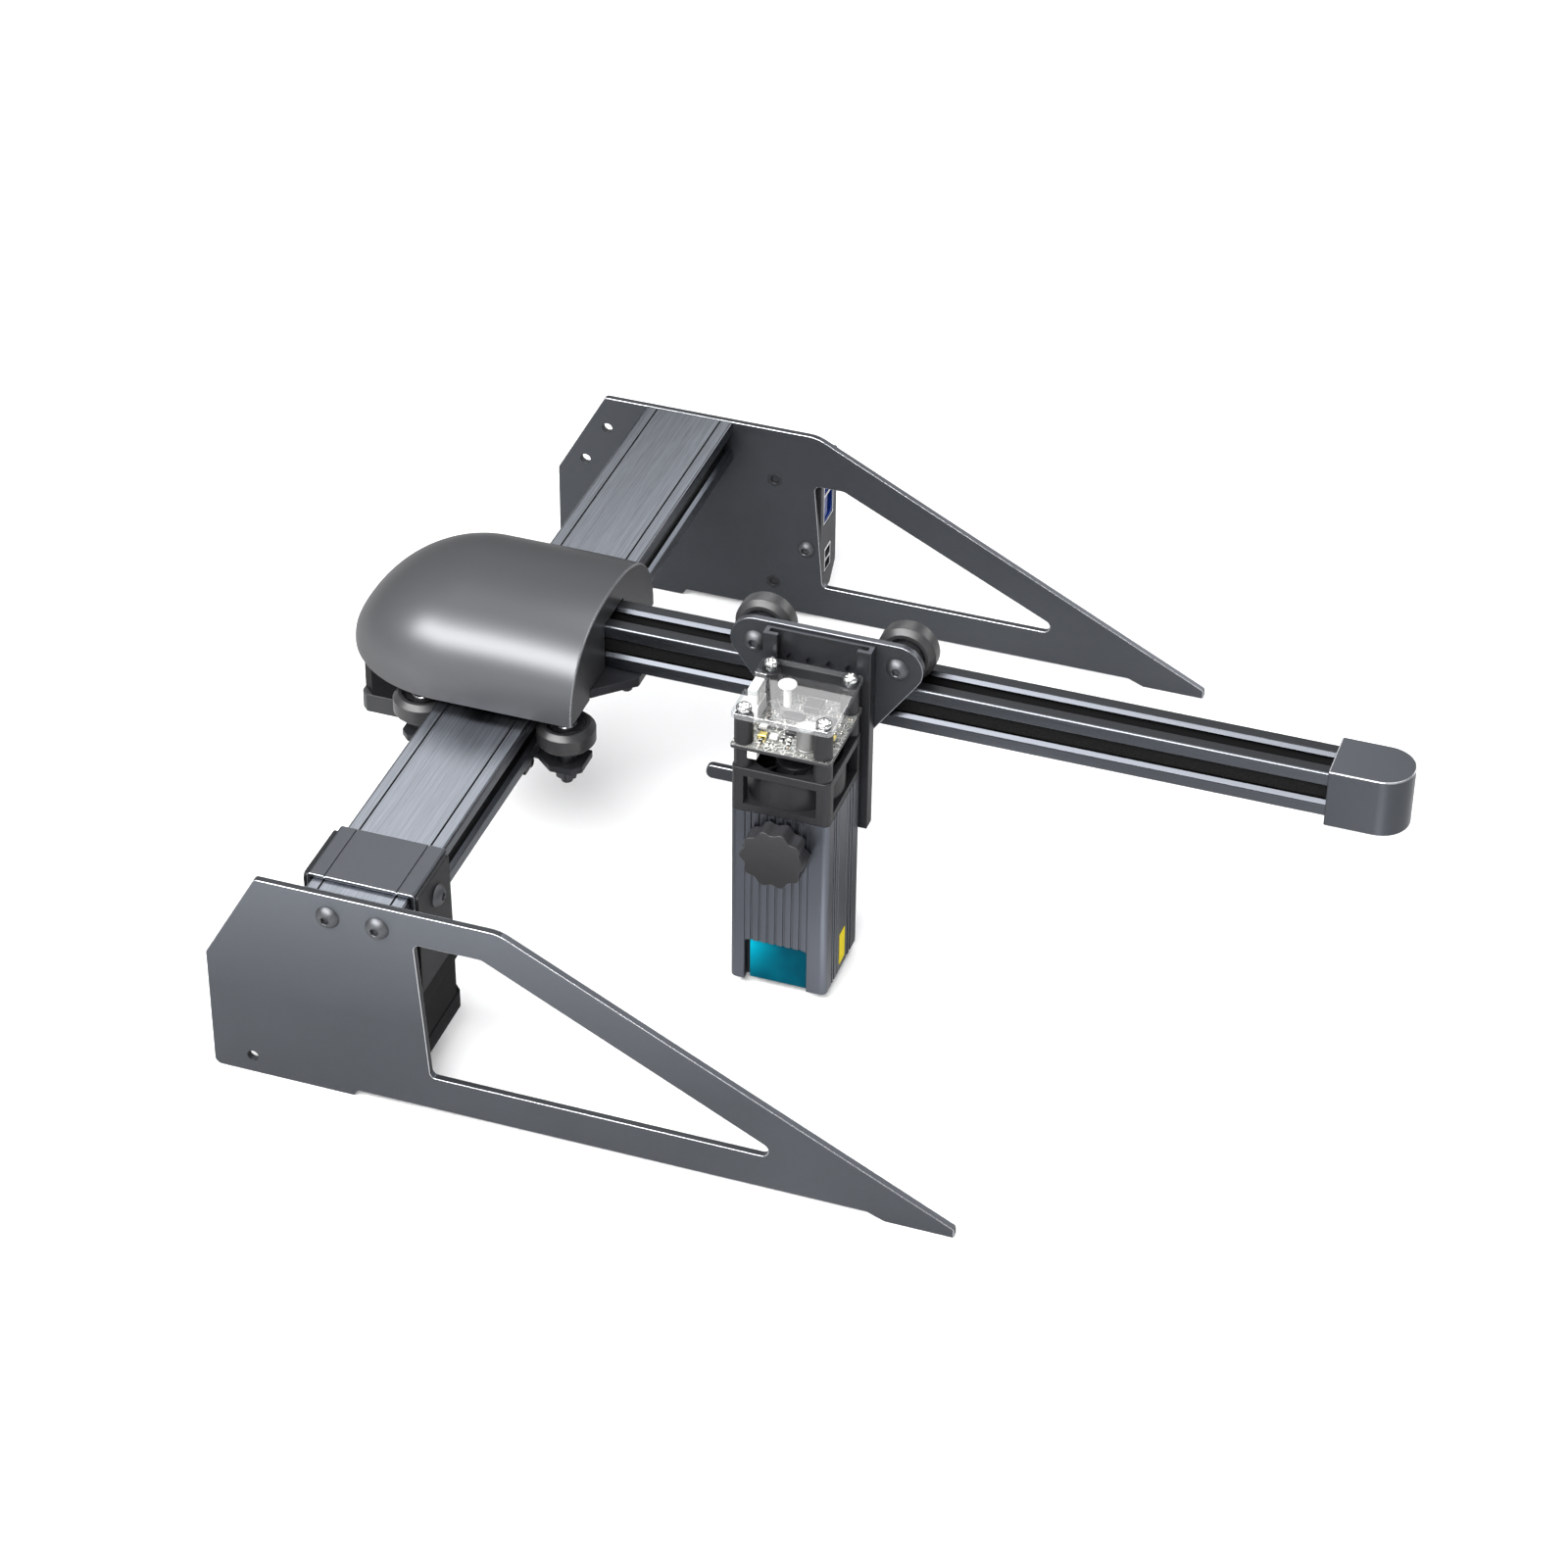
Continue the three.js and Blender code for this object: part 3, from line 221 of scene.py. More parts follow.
def brushed(name, colour, rough, along=1, streak=0.06, aniso=0.5, painted_drift=None):
    """Metal with fine drawn lines along one axis.

    painted_drift: (from, to, gain at from, gain at to), slow painted light and shade along the
    axis.
    """
    def stretch(length):
        return tuple(length if axis == along else 1.0 for axis in range(3))

    tree = new_material(name)
    fine = tree.noise(freq=2500.0, detail=5.0, rough=0.7, stretch=stretch(0.004))
    finer = tree.noise(freq=6500.0, detail=2.0, stretch=stretch(0.012))
    slow = tree.noise(freq=12.0, detail=2.0)
    lines = tree.add(tree.times(fine, 0.6), tree.times(finer, 0.4))
    tone = tree.mix(tree.ramp(lines, over=(0.32, 0.68)),
                    scaled(colour, 1 - streak), scaled(colour, 1 + streak))
    tone = tree.mix(tree.ramp(slow, to=(0.0, 0.18)), tone, scaled(colour, 0.8))
    if painted_drift:
        gain = tree.ramp(tree.split()[along], to=painted_drift[2:], over=painted_drift[:2])
        tone = tree.node("VectorMath", {0: tone, "Scale": gain}, operation="SCALE").outputs[0]
    return tree.principled(
        Base_Color=tone, Roughness=tree.ramp(lines, to=(rough - 0.06, rough + 0.06)),
        Metallic=1.0, Anisotropic=aniso,
        Normal=tree.bump(lines, strength=0.22, distance=0.00002))


# ------------------------------------------------------------------ materials (M_...)
# painted light and shade: the near plate grows lighter towards its top, the far plate darker
M_PLATE = satin("plate_anodised", (0.070, 0.075, 0.085), rough=0.42, metal=0.8, var=0.035,
                grain=0.03, rise=(0.040, 0.100, 1.74))
M_PLATE_FAR = satin("plate_anodised_far", (0.072, 0.077, 0.087), rough=0.42, metal=0.8,
                    var=0.04, grain=0.03, rise=(0.030, 0.100, 0.88))
# the cut sides of the plates: a dark copy, and a lighter copy for up-facing sloped sides, a painted
# highlight
M_PLATE_SIDE = satin("plate_cut_side", (0.030, 0.032, 0.036), rough=0.45, metal=0.6,
                     var=0.06, spec=0.3)
M_PLATE_SLOPE_LIT = satin("plate_sloped_side_painted_lit", (0.115, 0.122, 0.137), rough=0.40, metal=0.85,
                      var=0.05)
M_EDGE = brushed("bright_edge", (0.52, 0.53, 0.55), rough=0.25, along=0, aniso=0.0)
M_HOLE = satin("hole_wall_dark", (0.030, 0.031, 0.035), rough=0.5, metal=0.5)
# the rail's tone falls from lighter at its near end to darker at its far end: painted light and
# shade
M_RAIL = brushed("rail_brushed", (0.147, 0.157, 0.176), rough=0.33, streak=0.50,
                 painted_drift=(-0.17, 0.17, 1.36, 0.84))
# darker copies of the rail metal, the smoother one for the rounded top edges, the other for the
# sides: painted shade
M_RAIL_EDGE_SHADED = brushed("rail_edge_polished_painted_shade", (0.105, 0.110, 0.124), rough=0.26, streak=0.05,
                      aniso=0.0)
M_RAIL_SIDE_SHADED = brushed("rail_side_painted_shade", (0.105, 0.113, 0.130), rough=0.34, streak=0.10)
M_SLOT = satin("slot_shade", (0.014, 0.015, 0.017), rough=0.5, metal=0.5)
M_ARM = brushed("arm_anodised", (0.080, 0.086, 0.098), rough=0.30, along=0, streak=0.10)
# copies of the arm's anodising by face direction: the darker top and lip copies are painted shade,
# the lighter front corner a painted highlight
M_ARM_TOP_SHADED = satin("arm_top_faces_painted_shade", (0.020, 0.0215, 0.024), rough=0.42, metal=0.6, var=0.06,
                  spec=0.2)
M_ARM_LIP_SHADED = brushed("arm_slot_lip_painted_shade", (0.050, 0.053, 0.060), rough=0.28, along=0, streak=0.08)
M_ARM_EDGE_HIGHLIGHT = brushed("arm_front_corner_painted_highlight", (0.150, 0.158, 0.176), rough=0.28, along=0)
M_ARM_SLOT = satin("arm_slot_shade", (0.003, 0.0031, 0.0034), rough=0.6, metal=0.0, spec=0.04)
M_CAP = satin("cap_anodised", (0.066, 0.071, 0.081), rough=0.36, metal=0.85, var=0.03)
M_DARK = satin("dark_painted_metal", (0.030, 0.031, 0.035), rough=0.42, metal=0.55, var=0.08,
               grain=0.03, spec=0.35, wear=0.10)
M_WPLATE = satin("wheel_plate_anodised", (0.046, 0.049, 0.055), rough=0.40, metal=0.7,
                 var=0.05, grain=0.03, spec=0.35, wear=0.05)
M_WEDGE = brushed("wheel_plate_edge", (0.26, 0.27, 0.29), rough=0.25, along=0, aniso=0.0)
M_SLEEVE = satin("sleeve_metal", (0.060, 0.064, 0.073), rough=0.36, metal=0.8, var=0.05)
# the cover's colour darkens towards its outline: painted shade
M_COVER = satin("cover_satin", (0.089, 0.091, 0.096), rough=0.35, metal=0.40, var=0.015,
                grain=0.010, grain_freq=3200, rough_var=0.012, rim=0.22)
# lighter copy of the cover finish for the rounded edge of the mouth: a painted highlight
M_COVER_EDGE_HIGHLIGHT = satin("cover_mouth_edge_painted_highlight", (0.22, 0.225, 0.235), rough=0.28, metal=0.6, var=0.03)
M_BLACK = satin("black_moulded", (0.0165, 0.0165, 0.0185), rough=0.40, metal=0.0, var=0.15,
                grain=0.05, grain_freq=1800, spec=0.33)
M_CHANNEL = satin("channel_black", (0.024, 0.025, 0.028), rough=0.36, metal=0.45, grain=0.03,
                  spec=0.3)
M_WHEEL = satin("wheel_acetal", (0.028, 0.028, 0.029), rough=0.36, metal=0.0, var=0.12,
                grain=0.03, spec=0.45)
M_STEEL = brushed("bright_steel", (0.60, 0.61, 0.63), rough=0.22, along=2, aniso=0.0)
M_COLLAR = brushed("axle_collar", (0.15, 0.155, 0.165), rough=0.28, along=2, aniso=0.0)
M_SCREW = satin("screw_black_oxide", (0.060, 0.062, 0.067), rough=0.34, metal=0.9, var=0.08)
M_SCREW_DOMED = satin("screw_dark_domed", (0.105, 0.108, 0.115), rough=0.47, metal=0.9,
                      var=0.05)
M_NICKEL = satin("screw_nickel", (0.82, 0.82, 0.81), rough=0.12, metal=1.0, var=0.03)
# two copies of one black motor finish: the darker one is painted shade, the lighter one painted
# light
M_MOTOR = satin("motor_black", (0.005, 0.0052, 0.006), rough=0.5, metal=0.0, var=0.12,
                grain=0.04, spec=0.05, wear=0.02)
M_MOTOR_X_LIT = satin("motor_black_painted_lit", (0.034, 0.035, 0.037), rough=0.45, metal=0.0,
                  grain=0.04, spec=0.25, wear=0.03)
M_BRACKET = satin("motor_bracket_black", (0.014, 0.0145, 0.016), rough=0.45, metal=0.3,
                  var=0.08, grain=0.03, spec=0.15, wear=0.04)
M_BODY = brushed("laser_body_anodised", (0.129, 0.138, 0.161), rough=0.33, along=2,
                 streak=0.05, aniso=0.2)
# darker copies of the body metal for the grooves are painted shade; the lighter side copy is a
# painted highlight
M_GROOVE = satin("laser_groove", (0.012, 0.013, 0.016), rough=0.5, metal=0.4, var=0.04,
                 spec=0.2)
M_GROOVE_FRONT = satin("laser_groove_front", (0.092, 0.098, 0.114), rough=0.42, metal=0.8,
                       var=0.04)
M_BODY_SIDE_LIT = brushed("laser_body_side_painted_highlight", (0.142, 0.151, 0.173), rough=0.33, along=2,
                      aniso=0.2)
# the knob grows lighter towards its top: a painted highlight
M_KNOB = satin("knob_black_painted_highlight", (0.0125, 0.0125, 0.0135), rough=0.38, metal=0.0, var=0.12,
               grain=0.05, grain_freq=1800, spec=0.38, rise=(0.15, 0.95, 2.4),
               rise_in_box=True)
M_NYLON = satin("white_nylon", (0.80, 0.79, 0.76), rough=0.45, metal=0.0, var=0.03)
M_CHIP = satin("chip_epoxy", (0.02, 0.02, 0.022), rough=0.4, metal=0.0)
M_TIN = satin("tinned_pads", (0.46, 0.455, 0.43), rough=0.28, metal=0.95, var=0.15)
M_GOLD = satin("gilt_pads", (0.62, 0.50, 0.16), rough=0.3, metal=0.9)
M_CAPACITOR = satin("capacitor_can", (0.235, 0.235, 0.23), rough=0.42, metal=0.6, var=0.05)
M_CAPTOP = satin("capacitor_top", (0.40, 0.40, 0.39), rough=0.5, metal=0.0, var=0.03, spec=0.3)
M_CERAMIC = satin("ceramic_tan", (0.16, 0.125, 0.085), rough=0.45, metal=0.0, var=0.15)
M_BLUE = satin("blue_insulator", (0.004, 0.03, 0.22), rough=0.35, metal=0.0)
M_YELLOW = satin("blank_sticker", (0.88, 0.70, 0.003), rough=0.42, metal=0.0, var=0.02,
                 spec=0.15)
M_LENS = satin("lens_glass_dark", (0.02, 0.03, 0.06), rough=0.06, metal=0.0, spec=0.9)


def belt_material():
    tree = new_material("belt_neoprene")
    fine = tree.noise(freq=1500.0, detail=4.0)
    tone = tree.mix(tree.ramp(fine), (0.004, 0.004, 0.004), (0.010, 0.010, 0.010))
    return tree.principled(
        Base_Color=tone, Roughness=0.72, Specular_IOR_Level=0.06, Sheen_Weight=0.0,
        Normal=tree.bump(fine, strength=0.5, distance=0.00008))


def shield_material():
    """Tinted window with painted light: brightest at its upper left, deeper towards lower right."""
    tree = new_material("shield_teal_painted_glow")
    position = tree.split()
    leftward = tree.ramp(position[0], to=(1.0, 0.0), over=(-0.029, -0.013))
    upward = tree.ramp(position[2], to=(0.0, 1.0), over=(0.006, 0.0235))
    glow = tree.times(leftward, tree.add(tree.times(upward, 0.75), 0.25), clamp=True)
    soft = tree.noise(freq=70.0, detail=1.0)
    glow = tree.add(tree.math("POWER", glow, 1.7), tree.ramp(soft, to=(-0.04, 0.06)),
                    clamp=True)
    tone = tree.mix(glow, (0.0, 0.036, 0.058), (0.0, 0.300, 0.420))
    # the tone also glows by itself: a painted glow
    return tree.principled(Base_Color=tone, Roughness=0.24, Specular_IOR_Level=0.03,
                           Emission_Color=tone, Emission_Strength=0.32)


def acrylic_material(name, tint, gloss_rough, extra_mirror, haze):
    """Clear sheet: see-through, mirrored by angle, with a trace of white haze."""
    tree = new_material(name)
    clear = tree.node("BsdfTransparent", {0: tint}).outputs[0]
    fresnel = tree.node("Fresnel", {0: 1.52}).outputs[0]
    scratches = tree.bump(tree.noise(freq=900.0, detail=5.0), strength=0.03, distance=0.00001)
    gloss = tree.node("BsdfGlossy", {"Roughness": gloss_rough, "Normal": scratches}).outputs[0]
    # only the outer side of each face mirrors; the far side is seen straight through
    inside = tree.node("NewGeometry").outputs["Backfacing"]
    outside = tree.math("SUBTRACT", 1.0, inside)
    # across and deep run 0 to 1 over a 32 mm square; in it a patch mirrors more: painted reflection
    position = tree.split()
    across = tree.math("DIVIDE", tree.math("SUBTRACT", position[0], ORIGIN.x + 133.25 * MM),
                       32 * MM)
    deep = tree.math("DIVIDE", tree.math("SUBTRACT", position[1], ORIGIN.y + 117.25 * MM),
                     32 * MM)
    reflection_patch = tree.times(tree.ramp(deep, to=(1, 0), over=(0.66, 0.68)),
                      tree.ramp(tree.add(across, tree.times(deep, 0.39)), over=(0.34, 0.36)))
    gain = tree.add(tree.times(reflection_patch, 1.7), 0.35)
    share = tree.times(outside, tree.add(tree.times(fresnel, gain), extra_mirror))
    sheet = tree.node("MixShader", {0: share, 1: clear, 2: gloss}).outputs[0]
    white = tree.node("BsdfDiffuse", {0: (0.85, 0.87, 0.88)}).outputs[0]
    return tree.finish(tree.node("MixShader", {0: haze, 1: sheet, 2: white}).outputs[0])


def board_material():
    """Lacquered board: bare silver tracks in blocks, over a dark grey-green lacquer."""
    tree = new_material("board_tracks")
    blocks = tree.node("TexBrick", {
        "Vector": tree.mapping(), "Scale": 420.0, "Mortar Size": 0.035,
        "Color1": (0.035, 0.038, 0.036), "Color2": (0.12, 0.125, 0.12),
        "Mortar": (0.34, 0.34, 0.32)}).outputs["Color"]
    cells = tree.node("TexVoronoi", {"Vector": tree.mapping()}, feature="DISTANCE_TO_EDGE",
                      distance="MANHATTAN")
    tree.feed(cells.inputs["Scale"], 340.0)
    line = tree.ramp(cells.outputs["Distance"], to=(1.0, 0.0), over=(0.03, 0.09))
    zone = tree.ramp(tree.noise(freq=90.0, detail=1.0), over=(0.47, 0.53))
    base = tree.mix(zone, blocks, (0.06, 0.063, 0.06))
    tone = tree.mix(line, base, (0.52, 0.52, 0.49))
    return tree.principled(
        Base_Color=tone, Roughness=tree.ramp(line, to=(0.42, 0.28), over=(0, 1)),
        Metallic=tree.ramp(line, to=(0.15, 0.8), over=(0, 1)),
        Normal=tree.bump(line, strength=0.35, distance=0.00006), Coat_Weight=0.25)


def lamination_material():
    """Stacked motor laminations seen from the side."""
    tree = new_material("motor_laminations")
    bands = tree.node("TexWave", {"Vector": tree.mapping(), "Scale": 320.0, "Distortion": 0.4},
                      wave_type="BANDS", bands_direction="Z").outputs["Fac"]
    tone = tree.mix(bands, (0.004, 0.004, 0.0045), (0.010, 0.010, 0.011))
    return tree.principled(
        Base_Color=tone, Roughness=0.5, Metallic=0.0, Specular_IOR_Level=0.04,
        Normal=tree.bump(bands, strength=0.4, distance=0.00008))


M_BELT = belt_material()
M_SHIELD = shield_material()
M_CLEAR = acrylic_material("acrylic_clear", tint=(0.95, 0.955, 0.96), gloss_rough=0.05,
                           extra_mirror=0.0, haze=0.004)
M_CLEAR_EDGE = acrylic_material("acrylic_edge", tint=(0.75, 0.77, 0.78), gloss_rough=0.12,
                                extra_mirror=0.12, haze=0.08)
M_PCB = board_material()
M_STACK = lamination_material()


# ------------------------------------------------------------------ outlines
def arc(x, y, radius, start, end, steps):
    turns = [start + (end - start) * k / steps for k in range(steps + 1)]
    return [(x + radius * cos(turn), y + radius * sin(turn)) for turn in turns]


def circle(x, y, radius, count=32, turn=0.0):
    return [(x + radius * cos(turn + 2 * pi * k / count),
             y + radius * sin(turn + 2 * pi * k / count)) for k in range(count)]


def rounded(corners, steps=8):
    """Outline through (x, y, corner radius) points; no radius means a sharp corner."""
    outline = []
    for i, (x, y, *rest) in enumerate(corners):
        radius = rest[0] if rest else 0
        if radius <= 0:
            outline.append((x, y))
            continue
        last, following = corners[i - 1], corners[(i + 1) % len(corners)]
        back = Vector((last[0] - x, last[1] - y)).normalized()
        ahead = Vector((following[0] - x, following[1] - y)).normalized()
        half = acos(max(-1, min(1, back.dot(ahead)))) / 2
        reach = radius / tan(half)
        corner = Vector((x, y))
        first, final = corner + back * reach, corner + ahead * reach
        centre = corner + (back + ahead).normalized() * (radius / sin(half))
        start = atan2(first.y - centre.y, first.x - centre.x)
        end = atan2(final.y - centre.y, final.x - centre.x)
        while end - start > pi:
            end -= 2 * pi
        while end - start < -pi:
            end += 2 * pi
        outline += arc(centre.x, centre.y, radius, start, end, steps)
    return outline


def round_rect(x0, x1, y0, y1, radius, steps=8):
    return rounded([(x0, y0, radius), (x1, y0, radius), (x1, y1, radius), (x0, y1, radius)],
                   steps)


def area(loop):
    return sum(loop[i - 1][0] * loop[i][1] - loop[i][0] * loop[i - 1][1]
               for i in range(len(loop))) / 2


def dedupe(loop, gap=1e-5):
    kept = []
    for x, y in loop:
        if not kept or abs(x - kept[-1][0]) + abs(y - kept[-1][1]) > gap:
            kept.append((x, y))
    if abs(kept[0][0] - kept[-1][0]) + abs(kept[0][1] - kept[-1][1]) < gap:
        kept.pop()
    return kept


def inset(loop, distance):
    """Every point moved to the left of the direction of travel, mitred."""
    moved = []
    for i, point in enumerate(loop):
        here = Vector(point)
        arrive = (here - Vector(loop[i - 1])).normalized()
        leave = (Vector(loop[(i + 1) % len(loop)]) - here).normalized()
        left1, left2 = Vector((-arrive.y, arrive.x)), Vector((-leave.y, leave.x))
        mitre = (left1 + left2) / max(1 + left1.dot(left2), 0.35)
        moved.append((here.x + mitre.x * distance, here.y + mitre.y * distance))
    return moved


def mirrored(half):
    """Closed (radius, height) profile from its upper half."""
    return half + [(radius, -height) for radius, height in reversed(half)]


def hexagon(apothem, turn=0.0):
    """Radius of a hexagon as a function of angle, for a lathe profile."""
    return lambda angle: apothem / cos(((angle - turn + pi / 6) % (pi / 3)) - pi / 6)


def cross(half_width, reach, turn):
    """Radius of a four-armed cross as a function of angle."""
    def radius(angle):
        off = abs(((angle + turn + pi / 4) % (pi / 2)) - pi / 4)
        return half_width / sin(off) if tan(off) > half_width / reach else reach / cos(off)
    return radius


# ------------------------------------------------------------------ mesh tools
PLANES = {"XY": lambda a, b, h: (a, b, h), "XZ": lambda a, b, h: (a, h, b),
          "YZ": lambda a, b, h: (h, a, b)}
AXES = {"Z": lambda x, y, z: (x, y, z), "-Z": lambda x, y, z: (x, -y, -z),
        "Y": lambda x, y, z: (x, z, -y), "-Y": lambda x, y, z: (x, -z, y),
        "X": lambda x, y, z: (z, y, -x)}


def raw_mesh(name, verts, faces):
    data = bpy.data.meshes.new(name)
    data.from_pydata([tuple(metres(*vert)) for vert in verts], [], faces)
    return data


def clean(data, degenerate=False, outward=False):
    edit = bmesh.new()
    edit.from_mesh(data)
    bmesh.ops.remove_doubles(edit, verts=edit.verts, dist=2e-7)
    if degenerate:
        bmesh.ops.dissolve_degenerate(edit, edges=edit.edges, dist=1e-8)
    if outward:
        bmesh.ops.recalc_face_normals(edit, faces=edit.faces)
    edit.to_mesh(data)
    edit.free()


def link_object(name, data):
    obj = bpy.data.objects.new(name, data)
    SCENE.collection.objects.link(obj)
    return obj


def weight_normals(obj):
    modifier = obj.modifiers.new("wn", "WEIGHTED_NORMAL")
    modifier.keep_sharp = True
    modifier.weight = 60


def attach(obj, body, replaces=None):
    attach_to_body(obj, body)
    if replaces:
        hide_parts(replaces)


class Mesh:
    """Collects closed shells in layout millimetres, each face with a material slot."""

    def __init__(self):
        self.verts, self.faces, self.slots = [], [], []

    def add(self, verts, faces, slots):
        start = len(self.verts)
        volume = 0.0
        for face in faces:
            first = Vector(verts[face[0]])
            for i in range(1, len(face) - 1):
                volume += first.dot(Vector(verts[face[i]]).cross(Vector(verts[face[i + 1]])))
        if volume < 0:      # turn the faces outward
            faces = [face[::-1] for face in faces]
        self.verts += verts
        self.faces += [tuple(i + start for i in face) for face in faces]
        self.slots += slots if isinstance(slots, list) else [slots] * len(faces)
        return self

    def prism(self, outer, low, high, plane="XY", holes=(), bevel=0.0, steps=2, mat=0,
              side=None, edge=None, hole_side=None):
        """Outline pushed from low to high along the plane's normal, with rounded rims.

        mat, side and edge are the slots of caps, walls and bevels; hole_side is the slot of
        the walls of every hole after the first.
        """
        side = mat if side is None else side
        edge = side if edge is None else edge
        place = PLANES[plane]
        loops = [dedupe(loop) for loop in (outer, *holes)]
        loops = [loop if (area(loop) > 0) == (i == 0) else loop[::-1]
                 for i, loop in enumerate(loops)]
        turns = [pi / 2 * k / steps for k in range(steps)] if bevel else []
        rim = [(bevel * (1 - sin(turn)), bevel * (1 - cos(turn))) for turn in turns]
        rim.append((0, bevel))
        rings = [(shrink, low + rise) for shrink, rise in rim]
        rings += [(shrink, high - rise) for shrink, rise in reversed(rim)]
        shapes = [[inset(loop, shrink) if shrink > 0 else loop for loop in loops]
                  for shrink, _ in rings]
        verts = [place(*point, height) for (_, height), shape in zip(rings, shapes)
                 for loop in shape for point in loop]
        total = sum(map(len, loops))
        faces, slots = [], []
        for ring in range(len(rings) - 1):
            flat = rings[ring][0] == rings[ring + 1][0] == 0
            base = ring * total
            for number, loop in enumerate(loops):
                wall = side if flat else edge
                if hole_side is not None and number > 1:
                    wall = hole_side
                for i in range(len(loop)):
                    this, that = base + i, base + (i + 1) % len(loop)
                    faces.append((this, that, that + total, this + total))
                    slots.append(wall)
                base += len(loop)
        for ring, up in ((0, False), (len(rings) - 1, True)):
            start = ring * total
            if len(loops) == 1 and total <= 8:
                face = tuple(range(start, start + total))
                faces.append(face if up else face[::-1])
                slots.append(mat)
                continue
            shape = [[Vector((*point, 0)) for point in loop] for loop in shapes[ring]]
            points = [point for loop in shape for point in loop]
            for triangle in geometry.tessellate_polygon(shape):
                a, b, c = (points[i] for i in triangle)
                turn = (b.x - a.x) * (c.y - a.y) - (b.y - a.y) * (c.x - a.x)
                if abs(turn) < 1e-12:
                    continue
                order = triangle if (turn > 0) == up else triangle[::-1]
                faces.append(tuple(start + i for i in order))
                slots.append(mat)
        return self.add(verts, faces, slots)

    def lathe(self, profile, count=48, at=(0, 0, 0), axis="Z", mat=0):
        """Turn (radius, height) points, from pole to pole or as a closed loop.

        A radius may be a function of the angle.
        """
        verts, rings, faces = [], [], []
        for radius, height in profile:
            if radius == 0:
                rings.append([len(verts)] * count)
                verts.append((0.0, 0.0, height))
                continue
            rings.append(list(range(len(verts), len(verts) + count)))
            for k in range(count):
                angle = 2 * pi * k / count
                reach = radius(angle) if callable(radius) else radius
                verts.append((reach * cos(angle), reach * sin(angle), height))
        pairs = list(zip(rings, rings[1:]))
        if profile[0][0] and profile[-1][0]:
            pairs.append((rings[-1], rings[0]))
        for low, high in pairs:
            for k in range(count):
                j = (k + 1) % count
                face = tuple(dict.fromkeys((low[k], low[j], high[j], high[k])))
                if len(face) > 2:
                    faces.append(face)
        turned = AXES[axis]
        verts = [tuple(c + d for c, d in zip(turned(*vert), at)) for vert in verts]
        return self.add(verts, faces, mat)

    def rod(self, radius, low, high, count, at, axis="Z", mat=0):
        return self.lathe([(0, low), (radius, low), (radius, high), (0, high)],
                          count, at, axis, mat)

    def box(self, x0, x1, y0, y1, z0, z1, bevel, mat=0):
        bevel = min(bevel, (z1 - z0) * 0.4, (x1 - x0) * 0.4, (y1 - y0) * 0.4)
        return self.prism([(x0, y0), (x1, y0), (x1, y1), (x0, y1)], z0, z1, bevel=bevel,
                          steps=1, mat=mat)

    def block(self, x, y, width, depth, z0, z1, bevel, mat=0):
        """Box centred on x, y."""
        return self.box(x - width / 2, x + width / 2, y - depth / 2, y + depth / 2,
                        z0, z1, bevel, mat)

    def cutter(self):
        data = raw_mesh("cutter", self.verts, self.faces)
        clean(data)
        return link_object("cutter", data)

    def build(self, name, materials, body, replaces=None, slot=None, smooth=34, pick=None,
              weighted=True):
        """Make the object. pick(centre, normal, slot) may name a new slot for a face."""
        data = raw_mesh(name, self.verts, self.faces)
        for material in materials:
            data.materials.append(material)
        data.polygons.foreach_set("material_index", self.slots)
        data.polygons.foreach_set("use_smooth", [True] * len(self.faces))
        data.update()
        clean(data, degenerate=True)
        if pick:
            for face in data.polygons:
                new = pick((face.center - ORIGIN) / MM, face.normal, face.material_index)
                if new is not None:
                    face.material_index = new
        data.set_sharp_from_angle(angle=radians(smooth))
        obj = link_object(name, data)
        if weighted:
            weight_normals(obj)
        attach(obj, body, replaces)
        return obj


def carve(obj, *cutters, smooth=34):
    """Cut meshes or objects out of an object for good; the cutters are removed."""
    obj.modifiers.clear()
    cutters = [item.cutter() if isinstance(item, Mesh) else item for item in cutters]
    for item in cutters:
        modifier = obj.modifiers.new("cut", "BOOLEAN")
        modifier.operation, modifier.solver, modifier.object = "DIFFERENCE", "EXACT", item
    bpy.context.view_layer.update()
    graph = bpy.context.evaluated_depsgraph_get()
    data = bpy.data.meshes.new_from_object(obj.evaluated_get(graph))
    obj.modifiers.clear()
    obj.data = data
    data.name = obj.name
    for item in cutters:
        bpy.data.objects.remove(item)
    data.polygons.foreach_set("use_smooth", [True] * len(data.polygons))
    data.set_sharp_from_angle(angle=radians(smooth))
    weight_normals(obj)


# ------------------------------------------------------------------ side plates
# x, z, corner radius
PLATE_OUTLINE = rounded([
    (-41.5, 0, 3), (17, 0, 1), (19, 2.75, 1), (223.5, 2.75, 2), (230.5, 0, 1), (257.25, 0, 0.8),
    (257.25, 4, 1.2), (79, 95, 16), (-19, 95, 2), (-41.5, 55, 2.5)], 14)
NEAR_WINDOW = [(44.75, 81, 2.5), (72, 81, 4), (194, 18, 3), (49.25, 18, 2.5)]
FAR_WINDOW = [(78.25, 70.25, 2.5), (91.75, 70.25, 4), (197, 18.25, 3), (82.75, 18.25, 2.5)]
NUT_X, NUT_Z = 60, (69.75, 16.5)
BORE_HOLES = [circle(x, RAIL_MID_Z, 2.6) for x in RAIL_BORES]


